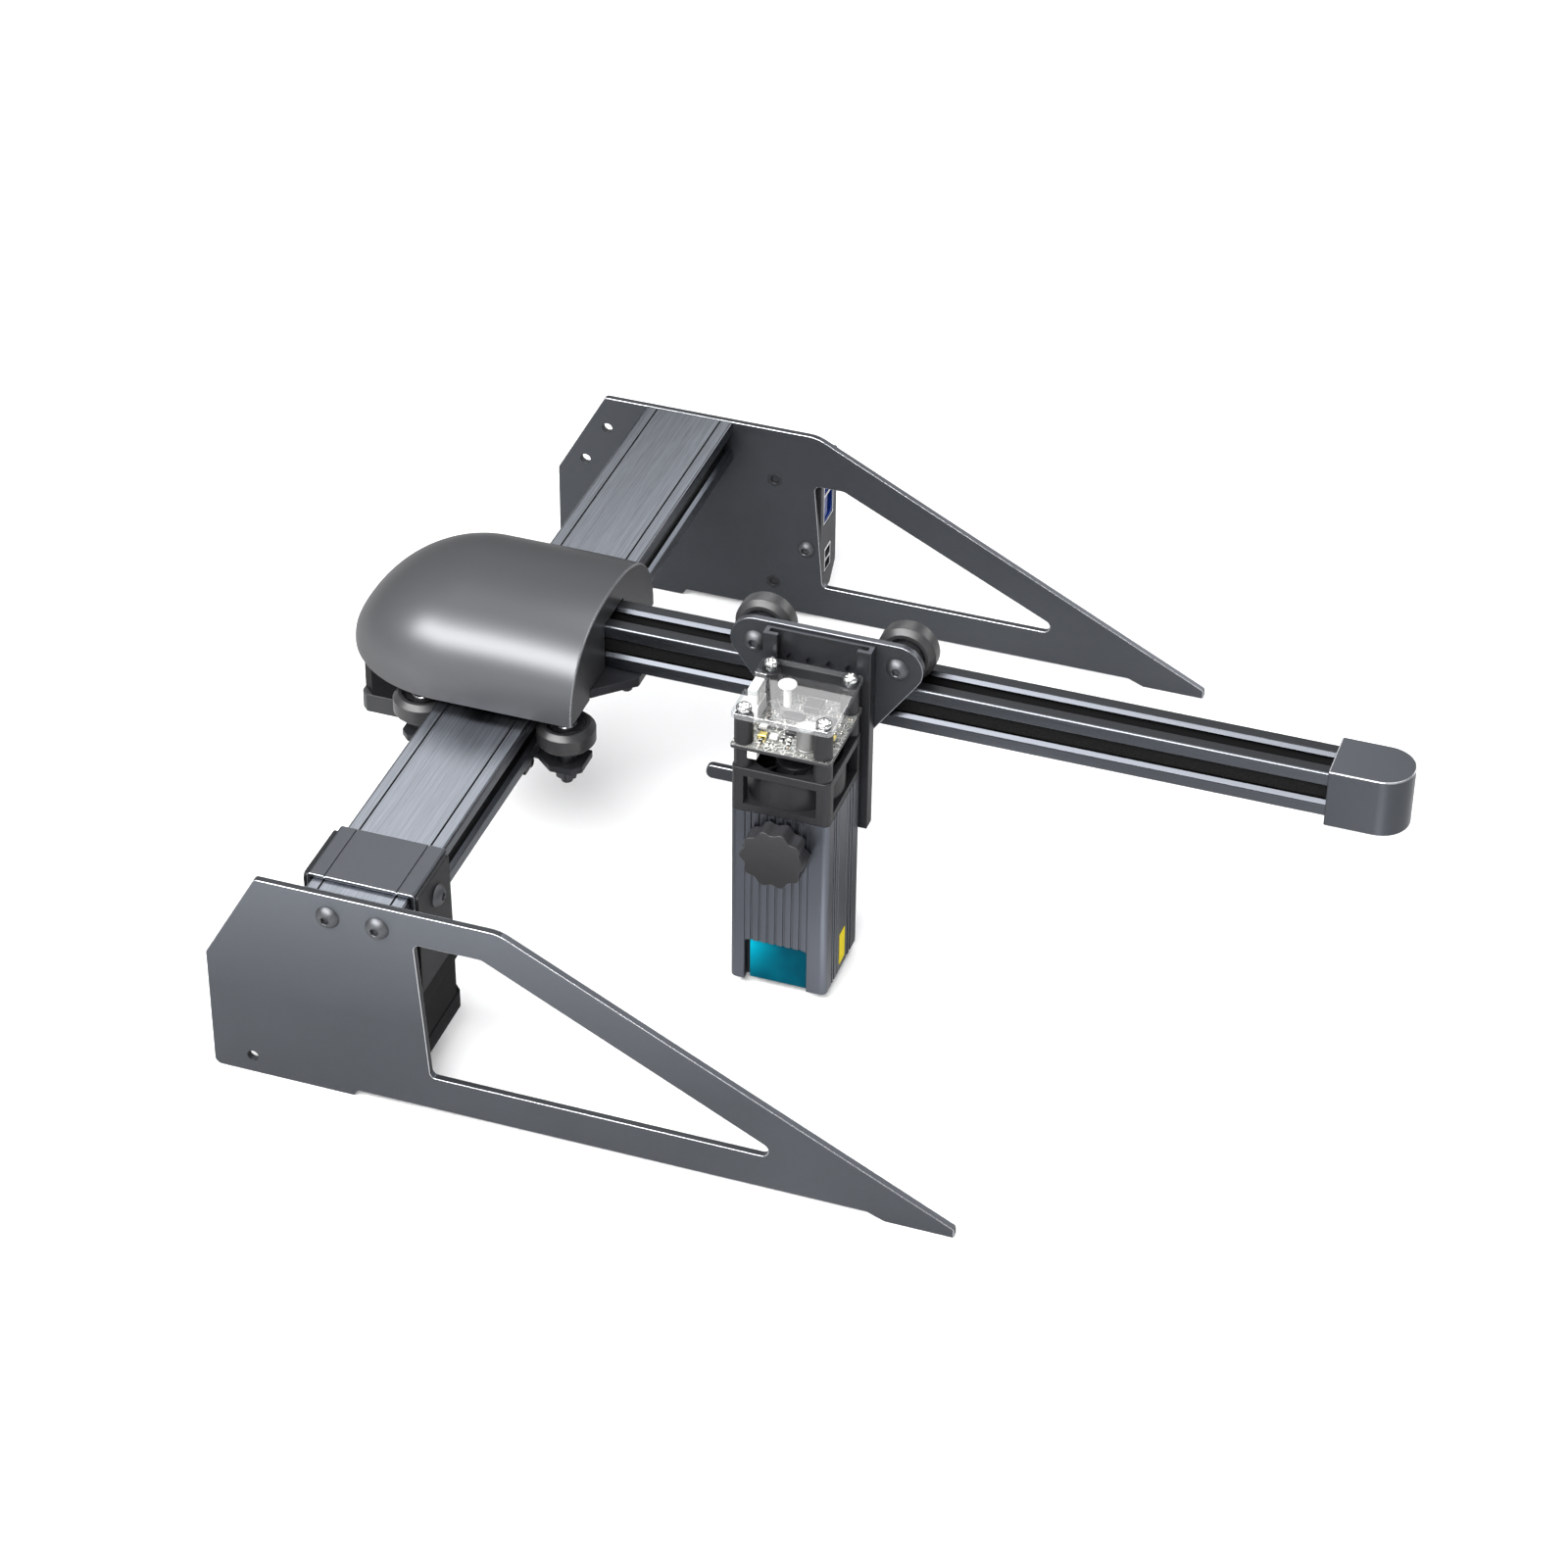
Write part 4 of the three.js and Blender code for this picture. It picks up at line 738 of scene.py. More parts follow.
def side_plate(side, y, face, window, holes):
    # up-facing sloped cut sides take the lighter copy of the cut-side metal: a painted highlight
    def pick(centre, normal, slot):
        return 4 if slot == 1 and normal.z > 0.3 and abs(normal.x) > 0.3 else None

    plate = Mesh().prism(PLATE_OUTLINE, y, y + PLATE_T, "XZ",
                         [rounded(window, 10), *BORE_HOLES, *holes], bevel=0.25, steps=3,
                         mat=0, side=1, edge=2, hole_side=3)
    plate.build(f"{side}_side_plate_skin", [face, M_PLATE_SIDE, M_EDGE, M_HOLE, M_PLATE_SLOPE_LIT],
                "frame", f"{side}_side_plate", "anodised_plate", smooth=30, pick=pick)


side_plate("near", 0, M_PLATE, NEAR_WINDOW, [circle(-25, 8, 2.25)])
side_plate("far", FAR_Y, M_PLATE_FAR, FAR_WINDOW, [
    circle(-18, 79.75, 2.25), circle(-28.5, 61.75, 2.25),
    *[circle(NUT_X, z, 3.35, 6, pi / 6) for z in NUT_Z], circle(75, 37, 2.2)])
for i, z in enumerate(NUT_Z):
    # press nut set in its hexagonal hole, with the end of its bolt
    nut = [(0, 1.3), (1.55, 1.3), (1.75, 1.1), (1.75, 1.7), (2.0, 1.95), (hexagon(3.0), 2.0),
           (hexagon(3.2), 1.8), (hexagon(3.2), -1.9), (hexagon(3.0), -2.1), (0, -2.1)]
    Mesh().lathe(nut, 48, (NUT_X, FAR_Y + 1.9, z), "-Y").build(
        f"far_plate_nut_{i + 1}", [M_HOLE], "frame", slot="black_steel", smooth=32)


# ------------------------------------------------------------------ extrusions
# half width of a T-slot along the face, depth into it, corner radius
SLOT = [(-4.6, 0, 0.75), (-3.1, 1.5, 0.15), (-3.1, 1.8, 0.1), (-5.5, 1.8, 0.2),
        (-5.5, 3.6, 0.4), (-3, 6.1, 0.4), (3, 6.1, 0.4), (5.5, 3.6, 0.4), (5.5, 1.8, 0.2),
        (3.1, 1.8, 0.1), (3.1, 1.5, 0.15), (4.6, 0, 0.75)]
SLOT_SHADE = 1.52           # faces deeper than this take the shaded slot material


def slot_at(x, y, along, inward):
    return [(x + u * along[0] + v * inward[0], y + u * along[1] + v * inward[1], radius)
            for u, v, radius in SLOT]


def top_grooves(z, depth, radius):
    """Two fine grooves in the rail's top or the sleeve over it, from right to left."""
    return [point for x in (35.1, 5.9) for point in (
        (x + 0.3, z, radius), (x + 0.2, z - depth, 0.08), (x - 0.2, z - depth, 0.08),
        (x - 0.3, z, radius))]


# the sides and rounded top edges take darker copies of the rail metal: painted shade
def rail_slot(centre, normal, slot):
    if abs(normal.y) > 0.5:
        return 0
    if centre.z > 94.2 and (abs(centre.x - 5.9) < 0.45 or abs(centre.x - 35.1) < 0.45):
        return 3
    if centre.z > 94.9 and normal.z > 0.9:
        return 0
    if normal.z > 0.05 and centre.z > 93.5:
        return 1
    depth = min(centre.x - RAIL_X0, RAIL_X1 - centre.x, centre.z - RAIL_Z0)
    return 3 if depth > SLOT_SHADE else 2


# up-facing faces and lip chamfers take darker copies of the arm metal (painted shade), the front
# top corner a lighter one (painted highlight)
def arm_slot(centre, normal, slot):
    if abs(normal.x) > 0.5:
        return None
    depth = min(centre.y - ARM_Y0, ARM_Y1 - centre.y, centre.z - ARM_Z0, ARM_Z1 - centre.z)
    if depth > SLOT_SHADE:
        return 1
    if normal.z > 0.93:
        return 2
    if normal.z > 0.2 and normal.y < -0.2:
        return 4 if centre.y < 165 and centre.z > 121.2 else 3
    return None


rail_outline = [
    (RAIL_X0, RAIL_Z0, 0.7), *slot_at(RAIL_BORES[0], RAIL_Z0, (1, 0), (0, 1)),
    *slot_at(RAIL_BORES[1], RAIL_Z0, (1, 0), (0, 1)),
    (RAIL_X1, RAIL_Z0, 0.9), *slot_at(RAIL_X1, RAIL_MID_Z, (0, 1), (-1, 0)),
    (RAIL_X1, RAIL_Z1, 1.3), *top_grooves(RAIL_Z1, depth=0.6, radius=0.15),
    (RAIL_X0, RAIL_Z1, 1.3), *slot_at(RAIL_X0, RAIL_MID_Z, (0, -1), (1, 0))]
Mesh().prism(rounded(rail_outline, 4), PLATE_T, FAR_Y, "XZ",
             [round_rect(16.5, 24.5, 78, 92, 1), *BORE_HOLES], mat=2).build(
    "y_rail_extrusion", [M_RAIL, M_RAIL_EDGE_SHADED, M_RAIL_SIDE_SHADED, M_SLOT], "frame", "y_rail",
    "rail_aluminium", pick=rail_slot)

arm_outline = [
    (ARM_Y0, ARM_Z0, 1.1), *slot_at(ARM_Y, ARM_Z0, (1, 0), (0, 1)),
    (ARM_Y1, ARM_Z0, 1.1), *slot_at(ARM_Y1, ARM_Z, (0, 1), (-1, 0)),
    (ARM_Y1, ARM_Z1, 1.1), *slot_at(ARM_Y, ARM_Z1, (-1, 0), (0, -1)),
    (ARM_Y0, ARM_Z1, 1.1), *slot_at(ARM_Y0, ARM_Z, (0, -1), (1, 0))]
Mesh().prism(rounded(arm_outline, 5), -10, 356, "YZ", [circle(ARM_Y, ARM_Z, 2.1)],
             bevel=0.2).build(
    "x_arm_extrusion", [M_ARM, M_ARM_SLOT, M_ARM_TOP_SHADED, M_ARM_LIP_SHADED, M_ARM_EDGE_HIGHLIGHT], "carriage",
    "x_arm", "anodised_plate", smooth=40, pick=arm_slot)


# ------------------------------------------------------------------ fasteners
def button_head(radius, height, base=0, turn=0.0, lip=0.25, floor=2.1):
    """Domed head from its rim to the floor of its hexagon socket; lip and floor are depths."""
    rim_z, mouth, steps = 0.15, 1.9, 9
    centre = (mouth ** 2 + height ** 2 - radius ** 2 - rim_z ** 2) / (2 * (height - rim_z))
    ball = hypot(mouth, height - centre)
    start, end = acos((rim_z - centre) / ball), asin(mouth / ball)
    turns = [start + (end - start) * k / steps for k in range(1, steps + 1)]
    head = [(radius - 0.15, 0), (radius, rim_z)]
    head += [(ball * sin(angle), centre + ball * cos(angle)) for angle in turns]
    head += [(1.84, height - 0.03), (hexagon(1.55, turn), height - lip),
             (hexagon(1.5, turn), height - 1.7), (0, height - floor)]
    return [(reach, base + z) for reach, z in head]


def button_bolt(name, node, at, axis, length, shank=2.4, radius=4.75, height=2.75):
    profile = [(0, -length), (shank - 0.3, -length), (shank, -length + 0.4), (shank, 0.02)]
    profile += button_head(radius, height, turn=0.3)
    Mesh().lathe(profile, 60, at, axis).build(name, [M_SCREW_DOMED], "frame", node,
                                              "black_steel", smooth=36)


for side, x in zip(("left", "right"), RAIL_BORES):
    button_bolt(f"near_plate_bolt_{side}", f"near_plate_screw_{side}", (x, 0, RAIL_MID_Z),
                "-Y", length=16)
    button_bolt(f"far_plate_bolt_{side}", f"far_plate_screw_{side}",
                (x, FAR_Y + PLATE_T, RAIL_MID_Z), "Y", length=16)
button_bolt("controller_bolt", "controller_screw", (75, FAR_Y, 37), "-Y", length=9.5,
            shank=1.9, radius=4, height=2.4)
SLEEVE_BOLT_Y = 26.25
button_bolt("sleeve_bolt", "sleeve_screw", (43.75, SLEEVE_BOLT_Y, RAIL_MID_Z), "X", length=5)


# ------------------------------------------------------------------ rail end
SLEEVE_TOP = 96.75
sleeve_outline = [
    (-1.25, 73.25, 1.2), (42.25, 73.25, 1.2), (42.25, SLEEVE_TOP, 1.4),
    *top_grooves(SLEEVE_TOP, depth=0.45, radius=0.12), (-1.25, SLEEVE_TOP, 1.4)]
sleeve = Mesh().prism(rounded(sleeve_outline, 6), 8.75, 40, "XZ",
                      [round_rect(0.25, 40.75, 74.75, 95.25, 0.9)], bevel=0.3, steps=3,
                      edge=1).build(
    "rail_end_sleeve_shell", [M_SLEEVE, M_EDGE], "frame", "rail_end_sleeve", "dark_metal")
carve(sleeve, Mesh().rod(2.7, -3, 4, 40, (41, SLEEVE_BOLT_Y, RAIL_MID_Z), "X"))

# folded bracket: two upright cheeks and a floor over the motor
cheek = rounded([(9, 96, 2), (9, 50.5, 0.5), (41, 50.5, 0.5), (39.75, 62, 2), (38.5, 96, 2)], 6)
bracket = Mesh()
bracket.prism(cheek, 42.25, 43.75, "YZ", [circle(SLEEVE_BOLT_Y, RAIL_MID_Z, 2.7)], bevel=0.25)
bracket.prism(cheek, -2.75, -1.25, "YZ", bevel=0.25)
bracket.prism(
    rounded([(-2.7, 9.05, 0.5), (43.7, 9.05, 0.5), (43.7, 40.9, 0.5), (-2.7, 40.9, 0.5)]),
    50.55, 53, "XY",
    [circle(*Y_MOTOR, 11.5, 64),
     *[circle(Y_MOTOR[0] + a, Y_MOTOR[1] - MOTOR_BOLT, 1.7, 24)
       for a in (-MOTOR_BOLT, MOTOR_BOLT)]],
    bevel=0.2)
bracket.build("motor_bracket_folded", [M_BRACKET], "frame", "motor_bracket", "dark_metal")


# ------------------------------------------------------------------ motors, pulleys, belts
def octagon(x, y, width, cut, radius):
    half = width / 2
    near = half - cut
    points = [(-near, -half), (near, -half), (half, -near), (half, near),
              (near, half), (-near, half), (-half, near), (-half, -near)]
    return rounded([(x + a, y + b, radius) for a, b in points], 4)


def stepper(node, centre, z0, body, plug, plug_half, shell):
    """Motor with its shaft upward; plug is the centre of its socket block."""
    x, y = centre
    z1 = z0 + 34
    part = Mesh()
    ends = octagon(x, y, 42, 2.8, 1.2)
    part.prism(ends, z0, z0 + 8.6, bevel=0.5, steps=3)
    part.prism(octagon(x, y, 41.4, 5.2, 0.8), z0 + 8.4, z1 - 8.4, bevel=0.1, steps=1, mat=1)
    part.prism(ends, z1 - 8.6, z1, bevel=0.5, steps=3)
    part.lathe([(0, z1 - 1), (11, z1 - 1), (11, z1 + 1.6), (10.6, z1 + 2), (3.4, z1 + 2),
                (3.2, z1 + 1), (0, z1 + 1)], 64, (x, y, 0))
    part.lathe([(0, z0), (6.4, z0), (6.6, z0 + 0.4), (6.6, z0 + 1), (0, z0 + 1)], 48, (x, y, 0))
    screw = [(0, 3), (2.75, 3), (2.85, 0.35), (2.5, 0.05), (1.3, 0.05), (1.1, 0.9), (0, 1.0)]
    for a in (-MOTOR_BOLT, MOTOR_BOLT):
        for b in (-MOTOR_BOLT, MOTOR_BOLT):
            part.lathe(screw, 36, (x + a, y + b, z0), mat=2)
    (px, py), (hx, hy) = plug, plug_half
    part.prism(round_rect(px - hx, px + hx, py - hy, py + hy, 0.5), z0 + 0.9, z0 + 7.4,
               bevel=0.3, mat=3)
    part.build(f"{node}_stepper", [shell, M_STACK, M_SCREW, M_NYLON], body, node, "motor_black")


# the y motor takes the shaded copy of the motor finish, the x motor the lit copy
stepper("y_motor", Y_MOTOR, 16.5, "frame", (22, 49.5), (8, 4), M_MOTOR)
stepper("x_motor", X_MOTOR, 64.5, "carriage", (-44.5, ARM_Y), (4, 8), M_MOTOR_X_LIT)


def pulley(node, centre, mid, shaft=None, hub=None):
    """Twenty teeth between two flanges; on a D-shaft (z from, z to) with a hub, or bored."""
    x, y = centre
    half, teeth = 3.1, 20
    # share of one pitch, radius
    tooth = [(0.0, 6.32), (0.14, 6.32), (0.24, 6.0), (0.33, 5.72), (0.5, 5.62), (0.67, 5.72),
             (0.76, 6.0), (0.86, 6.32)]
    rim = []
    for k in range(teeth):
        for share, radius in tooth:
            angle = 2 * pi * k / teeth + share * 2 * pi / teeth
            rim.append((x + radius * cos(angle), y + radius * sin(angle)))
    holes = [] if shaft else [circle(x, y, 2.7)]
    part = Mesh().prism(rim, mid - half - 0.2, mid + half + 0.2, holes=holes)
    for z0 in (mid - half - 1, mid + half):
        part.prism(circle(x, y, 8.6, 64), z0, z0 + 1, holes=holes, bevel=0.3)
    if shaft:
        top = mid - half - 0.8
        part.lathe([(0, hub), (5.2, hub), (5.5, hub + 0.3), (5.5, top), (0, top)], 48, (x, y, 0))
        flat = 2.0
        part.prism([(x + min(a, flat), y + b) for a, b in circle(0, 0, 2.5, 40)], *shaft,
                   bevel=0.25, mat=1)
        part.lathe([(0, 4.9), (1.4, 4.9), (1.4, 5.35), (1.2, 5.55), (0.8, 5.55), (0.7, 5.0),
                    (0, 5.0)], 24, (x, y, (hub + mid - half) / 2 - 0.3), "X", mat=2)
    part.build(f"{node}_toothed", [M_TIN, M_STEEL, M_SCREW], f"{node}_body", node, "steel")


pulley("y_drive_pulley", Y_MOTOR, Y_BELT_Z, shaft=(52.75, 70), hub=55)
pulley("x_drive_pulley", X_MOTOR, ARM_Z, shaft=(100.75, 120), hub=102.5)
pulley("y_idler_pulley", Y_IDLER, Y_BELT_Z)
pulley("x_idler_pulley", X_IDLER, ARM_Z)


def belt(node, start, end, z, body):
    """Loop round two pulleys: smooth outside, about one tooth every two millimetres inside."""
    (ax, ay), (bx, by) = start, end
    heading = atan2(by - ay, bx - ax)
    ux, uy = cos(heading), sin(heading)
    span = hypot(bx - ax, by - ay)
    bend = 6.75             # radius on which the length of the bends is measured
    half_turn = pi * bend
    total = 2 * span + 2 * half_turn
    per_tooth, tooth = 8, 0.7125
    count = round(total / 2.0) * per_tooth
    half = 2.8
    verts, faces = [], []
    for k in range(count):
        along = total * k / count
        if along < span:
            base, out = (ax + ux * along, ay + uy * along), (uy, -ux)
        elif along < span + half_turn:
            angle = heading - pi / 2 + (along - span) / bend
            base, out = (bx, by), (cos(angle), sin(angle))
        elif along < 2 * span + half_turn:
            back = along - span - half_turn
            base, out = (bx - ux * back, by - uy * back), (-uy, ux)
        else:
            angle = heading + pi / 2 + (along - 2 * span - half_turn) / bend
            base, out = (ax, ay), (cos(angle), sin(angle))
        inner = 7.15 - (tooth if 0.18 < (k % per_tooth) / per_tooth < 0.72 else 0.0)
        for radius, rise in ((inner, -half), (inner, half), (7.75, half), (7.9, half - 0.15),
                             (7.9, -half + 0.15), (7.75, -half)):
            verts.append((base[0] + out[0] * radius, base[1] + out[1] * radius, z + rise))
    for k in range(count):
        this, that = k * 6, (k + 1) % count * 6
        for i in range(6):
            j = (i + 1) % 6
            faces.append((this + i, this + j, that + j, that + i))
    Mesh().add(verts, faces, 0).build(f"{node}_toothed", [M_BELT], body, node, "belt_rubber",
                                      smooth=40, weighted=False)


belt("y_belt", Y_MOTOR, Y_IDLER, Y_BELT_Z, "frame")
belt("x_belt", X_MOTOR, X_IDLER, ARM_Z, "carriage")

idler = Mesh().prism(round_rect(7, 37, 343, 366.25, 2), 73, 75, bevel=0.25)
idler.lathe([(0, 57.5), (3.9, 57.5), (4.25, 57.8), (4.25, 59.4), (4.0, 59.7), (2.5, 59.75),
             (2.5, 74), (0, 74)], 48, (*Y_IDLER, 0), mat=1)
for x in (11.5, 32.5):
    for y in (347.5, 362):
        idler.lathe([(0, -0.5), (2.6, -0.5), (2.6, 0.6), (2.0, 1.5), (1.6, 1.7), (1.3, 1.6),
                     (hexagon(1.3), 0.7), (0, 0.6)], 36, (x, y, 73.2), "-Z", mat=1)
idler.build("y_idler_bracket_plate", [M_DARK, M_SCREW], "frame", "y_idler_bracket",
            "dark_metal")


# ------------------------------------------------------------------ controller
case_outline = [(369.5, 10, 0.3), (384, 10, 1), (391.5, 18, 1), (391.5, 78, 2), (369.5, 78, 0.3)]
case = Mesh().prism(rounded(case_outline, 6), -1.5, 80.5, "YZ", bevel=0.5, steps=3).build(
    "controller_enclosure", [M_DARK], "frame", "controller_box", "dark_metal")
carve(case,
      Mesh().prism([(368.5, 12), (383, 12), (389.5, 18.75), (389.5, 76), (368.5, 76)],
                   0.5, 78.5, "YZ"),
      Mesh().prism(round_rect(373.5, 387, 45.25, 75.25, 0.8), 77, 82, "YZ"),
      Mesh().prism(round_rect(375.5, 384.5, 19.75, 32.25, 0.6), 77, 82, "YZ"),
      *[Mesh().prism(round_rect(12 + 6.4 * i, 15 + 6.4 * i, 34, 56, 1.45), 388, 393, "XZ")
        for i in range(9)])

board = Mesh().prism(round_rect(3, 70.75, 13.5, 75, 0.5), 371.5, 373.1, "XZ", bevel=0.1)
rnd = random.Random(5)
for k in range(34):
    x, z = rnd.uniform(6, 66), rnd.uniform(17, 72)
    width, height, depth = rnd.choice(
        ((1.6, 0.8, 0.5), (3, 1.5, 0.9), (5, 4, 1.4), (9, 9, 1.2), (2.4, 2.4, 2)))
    board.box(x, x + width, 373.05, 373.1 + depth, z, z + height, 0.1, 1)
for x in (20, 30):
    board.lathe([(0, 0), (3, 0), (3, 8), (2.7, 8.3), (0, 8.3)], 32, (x, 373, 30), "Y", mat=2)
board.build("controller_board_populated", [M_PCB, M_CHIP, M_CAPACITOR], "frame",
            "controller_board", "circuit_board")

USB_SOCKETS = [(46.6, 59.6), (60.9, 73.9)]          # z from, z to
usb = Mesh().box(64, 80.45, 373.75, 386.75, 45.5, 75, 0.3).build(
    "usb_port_shell", [M_STEEL, M_BLUE], "frame", "usb_port", "steel")
carve(usb, *[Mesh().prism(round_rect(374.6, 385.9, z0, z1, 0.5), 68, 82, "YZ")
             for z0, z1 in USB_SOCKETS])
insulator = Mesh()
for z0, z1 in USB_SOCKETS:
    insulator.box(66, 69.5, 374.7, 385.8, z0 + 0.1, z1 - 0.1, 0.2)
    insulator.prism(round_rect(376.2, 381.2, z0 + 1.2, z1 - 1.2, 0.3), 69, 79.6, "YZ",
                    bevel=0.25)
    for k in range(4):
        z = z0 + 2.6 + (z1 - z0 - 5.2) * k / 3
        insulator.box(70.5, 79.2, 381.1, 381.35, z - 0.5, z + 0.5, 0.05, 1)
    insulator.prism(round_rect(374.75, 385.75, z0 + 0.15, z1 - 0.15, 0.4), 77.6, 80.2, "YZ",
                    [round_rect(375.35, 385.15, z0 + 0.75, z1 - 0.75, 0.3)], bevel=0.15)
insulator.build("usb_port_insulators", [M_BLUE, M_GOLD], "frame", slot="circuit_board")

jack = Mesh().box(66, 80.45, 375.75, 384.25, 20, 32, 0.3).build(
    "power_jack_shell", [M_STEEL], "frame", "power_jack", "steel")
carve(jack, *[Mesh().prism(round_rect(376.75, 383.25, z0, z1, 0.5), 71, 82, "YZ")
              for z0, z1 in ((21, 25.3), (26.6, 31))])
insert = Mesh().box(70.2, 72, 376.2, 383.8, 20.4, 31.6, 0.1)
for z in (22.4, 28):
    insert.box(71.8, 79.4, 378.6, 381.4, z, z + 1.5, 0.15)
insert.build("power_jack_insert", [M_BLACK], "frame", slot="black_plastic")

# ------------------------------------------------------------------ carriage cover
COVER_X, COVER_Y, COVER_Z = 1.5, 172.25, 98.5   # widest section of the nose; base height
COVER_NOSE = 50.0           # length of the rounded nose, towards -X
COVER_HALF = 46.5           # half width
COVER_MOUTH = 59.0          # x of the open end
COVER_HEIGHT, MOUTH_HEIGHT = 37.0, 36.0
SECTION_POWER = 2.3         # superellipse exponent of the section
NOSE_POWER = 1.27           # how the height falls towards the tip
HEIGHT_POWER = 3.9          # how late the height falls towards the mouth
SECTION_STEPS = 96


def cover_shell(name, offset, fillet):
    """Half-dome with a straight end. With an offset it is smaller and reaches 4 mm lower."""
    tip_x = COVER_X - (COVER_NOSE - offset)
    half_width = COVER_HALF - offset
    fillet_x = COVER_MOUTH - offset - fillet
    foot = COVER_Z - 4
    # x, share of the full section, shrink
    rows = []
    for i in range(1, 41):
        turn = pi / 2 * (i / 40)
        rows.append((COVER_X - (COVER_NOSE - offset) * cos(turn), sin(turn), 0.0))
    for i in range(1, 17):
        rows.append((COVER_X + (fillet_x - COVER_X) * i / 16, 1.0, 0.0))
    for i in range(1, 6):
        turn = pi / 2 * i / 5
        rows.append((fillet_x + fillet * sin(turn), 1.0, fillet * (1 - cos(turn))))
    verts, faces, rings = [], [], []
    for x, share, shrink in rows:
        along = max(0.0, (x - COVER_X) / (COVER_MOUTH - COVER_X))
        width = half_width * share - shrink
        height = COVER_HEIGHT + (MOUTH_HEIGHT - COVER_HEIGHT) * along ** HEIGHT_POWER - offset
        height = height * share ** NOSE_POWER - shrink
        section = []
        for k in range(SECTION_STEPS + 1):
            turn = pi * k / SECTION_STEPS
            rise = sin(turn) if 0 < k < SECTION_STEPS else 0.0
            power = 2 / SECTION_POWER
            side = 1 if cos(turn) >= 0 else -1
            section.append((x, COVER_Y + width * side * abs(cos(turn)) ** power,
                            COVER_Z + height * rise ** power))
        if offset:
            section += [(x, COVER_Y - width, foot), (x, COVER_Y + width, foot)]
        rings.append(list(range(len(verts), len(verts) + len(section))))
        verts += section
    count = len(rings[0])
    for ring, after in zip(rings, rings[1:]):
        for k in range(count):
            j = (k + 1) % count
            faces.append((ring[k], after[k], after[j], ring[j]))
    tip, first = len(verts), rings[0]
    verts.append((tip_x, COVER_Y, COVER_Z))
    if offset:
        low_tip, last = tip + 1, SECTION_STEPS
        verts.append((tip_x, COVER_Y, foot))
        faces += [(tip, first[k], first[k + 1]) for k in range(last)]
        faces += [(tip, first[last], first[last + 1], low_tip),
                  (low_tip, first[last + 1], first[last + 2]),
                  (low_tip, first[last + 2], first[0], tip)]
    else:
        faces += [(tip, first[k], first[(k + 1) % count]) for k in range(count)]
    faces.append(tuple(reversed(rings[-1])))
    data = raw_mesh(name, verts, faces)
    clean(data, outward=True)
    return link_object(name, data)


cover = cover_shell("carriage_cover_shell", offset=0.0, fillet=0.9)
cover.data.materials.append(M_COVER)
cover.data.materials.append(M_COVER_EDGE_HIGHLIGHT)
ARM_GAP = 0.6
gap_y0, gap_y1, gap_z = ARM_Y0 - ARM_GAP, ARM_Y1 + ARM_GAP, ARM_Z1 + ARM_GAP
carve(cover, cover_shell("inner", offset=2.0, fillet=0.05),
      Mesh().prism(rounded([(gap_y0, 90), (gap_y1, 90), (gap_y1, gap_z, 0.8),
                            (gap_y0, gap_z, 0.8)]), 55, 61, "YZ"),
      Mesh().prism([(146, 90), (201, 90), (201, 103), (146, 103)], 55, 61, "YZ"),
      smooth=32)
# the rounded edge of the mouth takes the lighter copy, a painted highlight
for face in cover.data.polygons:
    centre = (face.center - ORIGIN) / MM
    at_mouth = 0.3 < face.normal.x < 0.92 and centre.x > 57 and centre.z > 80
    face.material_index = 1 if at_mouth else 0
attach(cover, "carriage", "carriage_cover")

# base plate under the cover: straight at the mouth, half an ellipse at the nose
plate_mouth = [
    (56.5, 128.75, 0), (56.5, 147, 0), (59, 147, 0.6), (62, 150, 1), (74, 161.25, 2),
    (74, 186.25, 2), (62, 197.5, 1), (59, 200.5, 0.6), (56.5, 200.5, 0), (56.5, 215.75, 0)]
nose_turns = [pi / 2 + pi * k / 72 for k in range(73)]
plate_nose = [(COVER_X + 45 * cos(turn), COVER_Y + 43.5 * sin(turn)) for turn in nose_turns]
Mesh().prism(rounded(plate_mouth, 5) + plate_nose, COVER_Z, ARM_Z0, "XY",
             [circle(*X_MOTOR, 11.5, 48)] + [circle(x, y, BORE) for x, y in RAIL_WHEELS],
             bevel=0.4).build(
    "carriage_plate_cut", [M_DARK], "carriage", "carriage_plate", "dark_metal")


# ------------------------------------------------------------------ V-wheels, axles, bars
def wheel(node, at, axis):
    part = Mesh()
    # upper half of each closed profile, count, slot: tyre, outer race, seal, inner race
    for half, count, mat in (
            ([(8.0, 4.5), (8.25, 5.0), (9.55, 5.1), (9.85, 5.0), (11.75, 3.1), (12.0, 2.7)],
             96, 0),
            ([(6.8, 4.3), (6.95, 4.75), (8.05, 4.75)], 64, 1),
            ([(4.3, 4.35), (4.4, 4.45), (6.9, 4.45)], 64, 2),
            ([(2.6, 4.9), (2.7, 5.0), (4.2, 5.0), (4.35, 4.8)], 64, 1)):
        part.lathe(mirrored(half), count, at, axis, mat)
    part.build(f"{node}_turned", [M_WHEEL, M_STEEL, M_CHIP], f"{node}_body", node,
               "wheel_polymer", smooth=32)


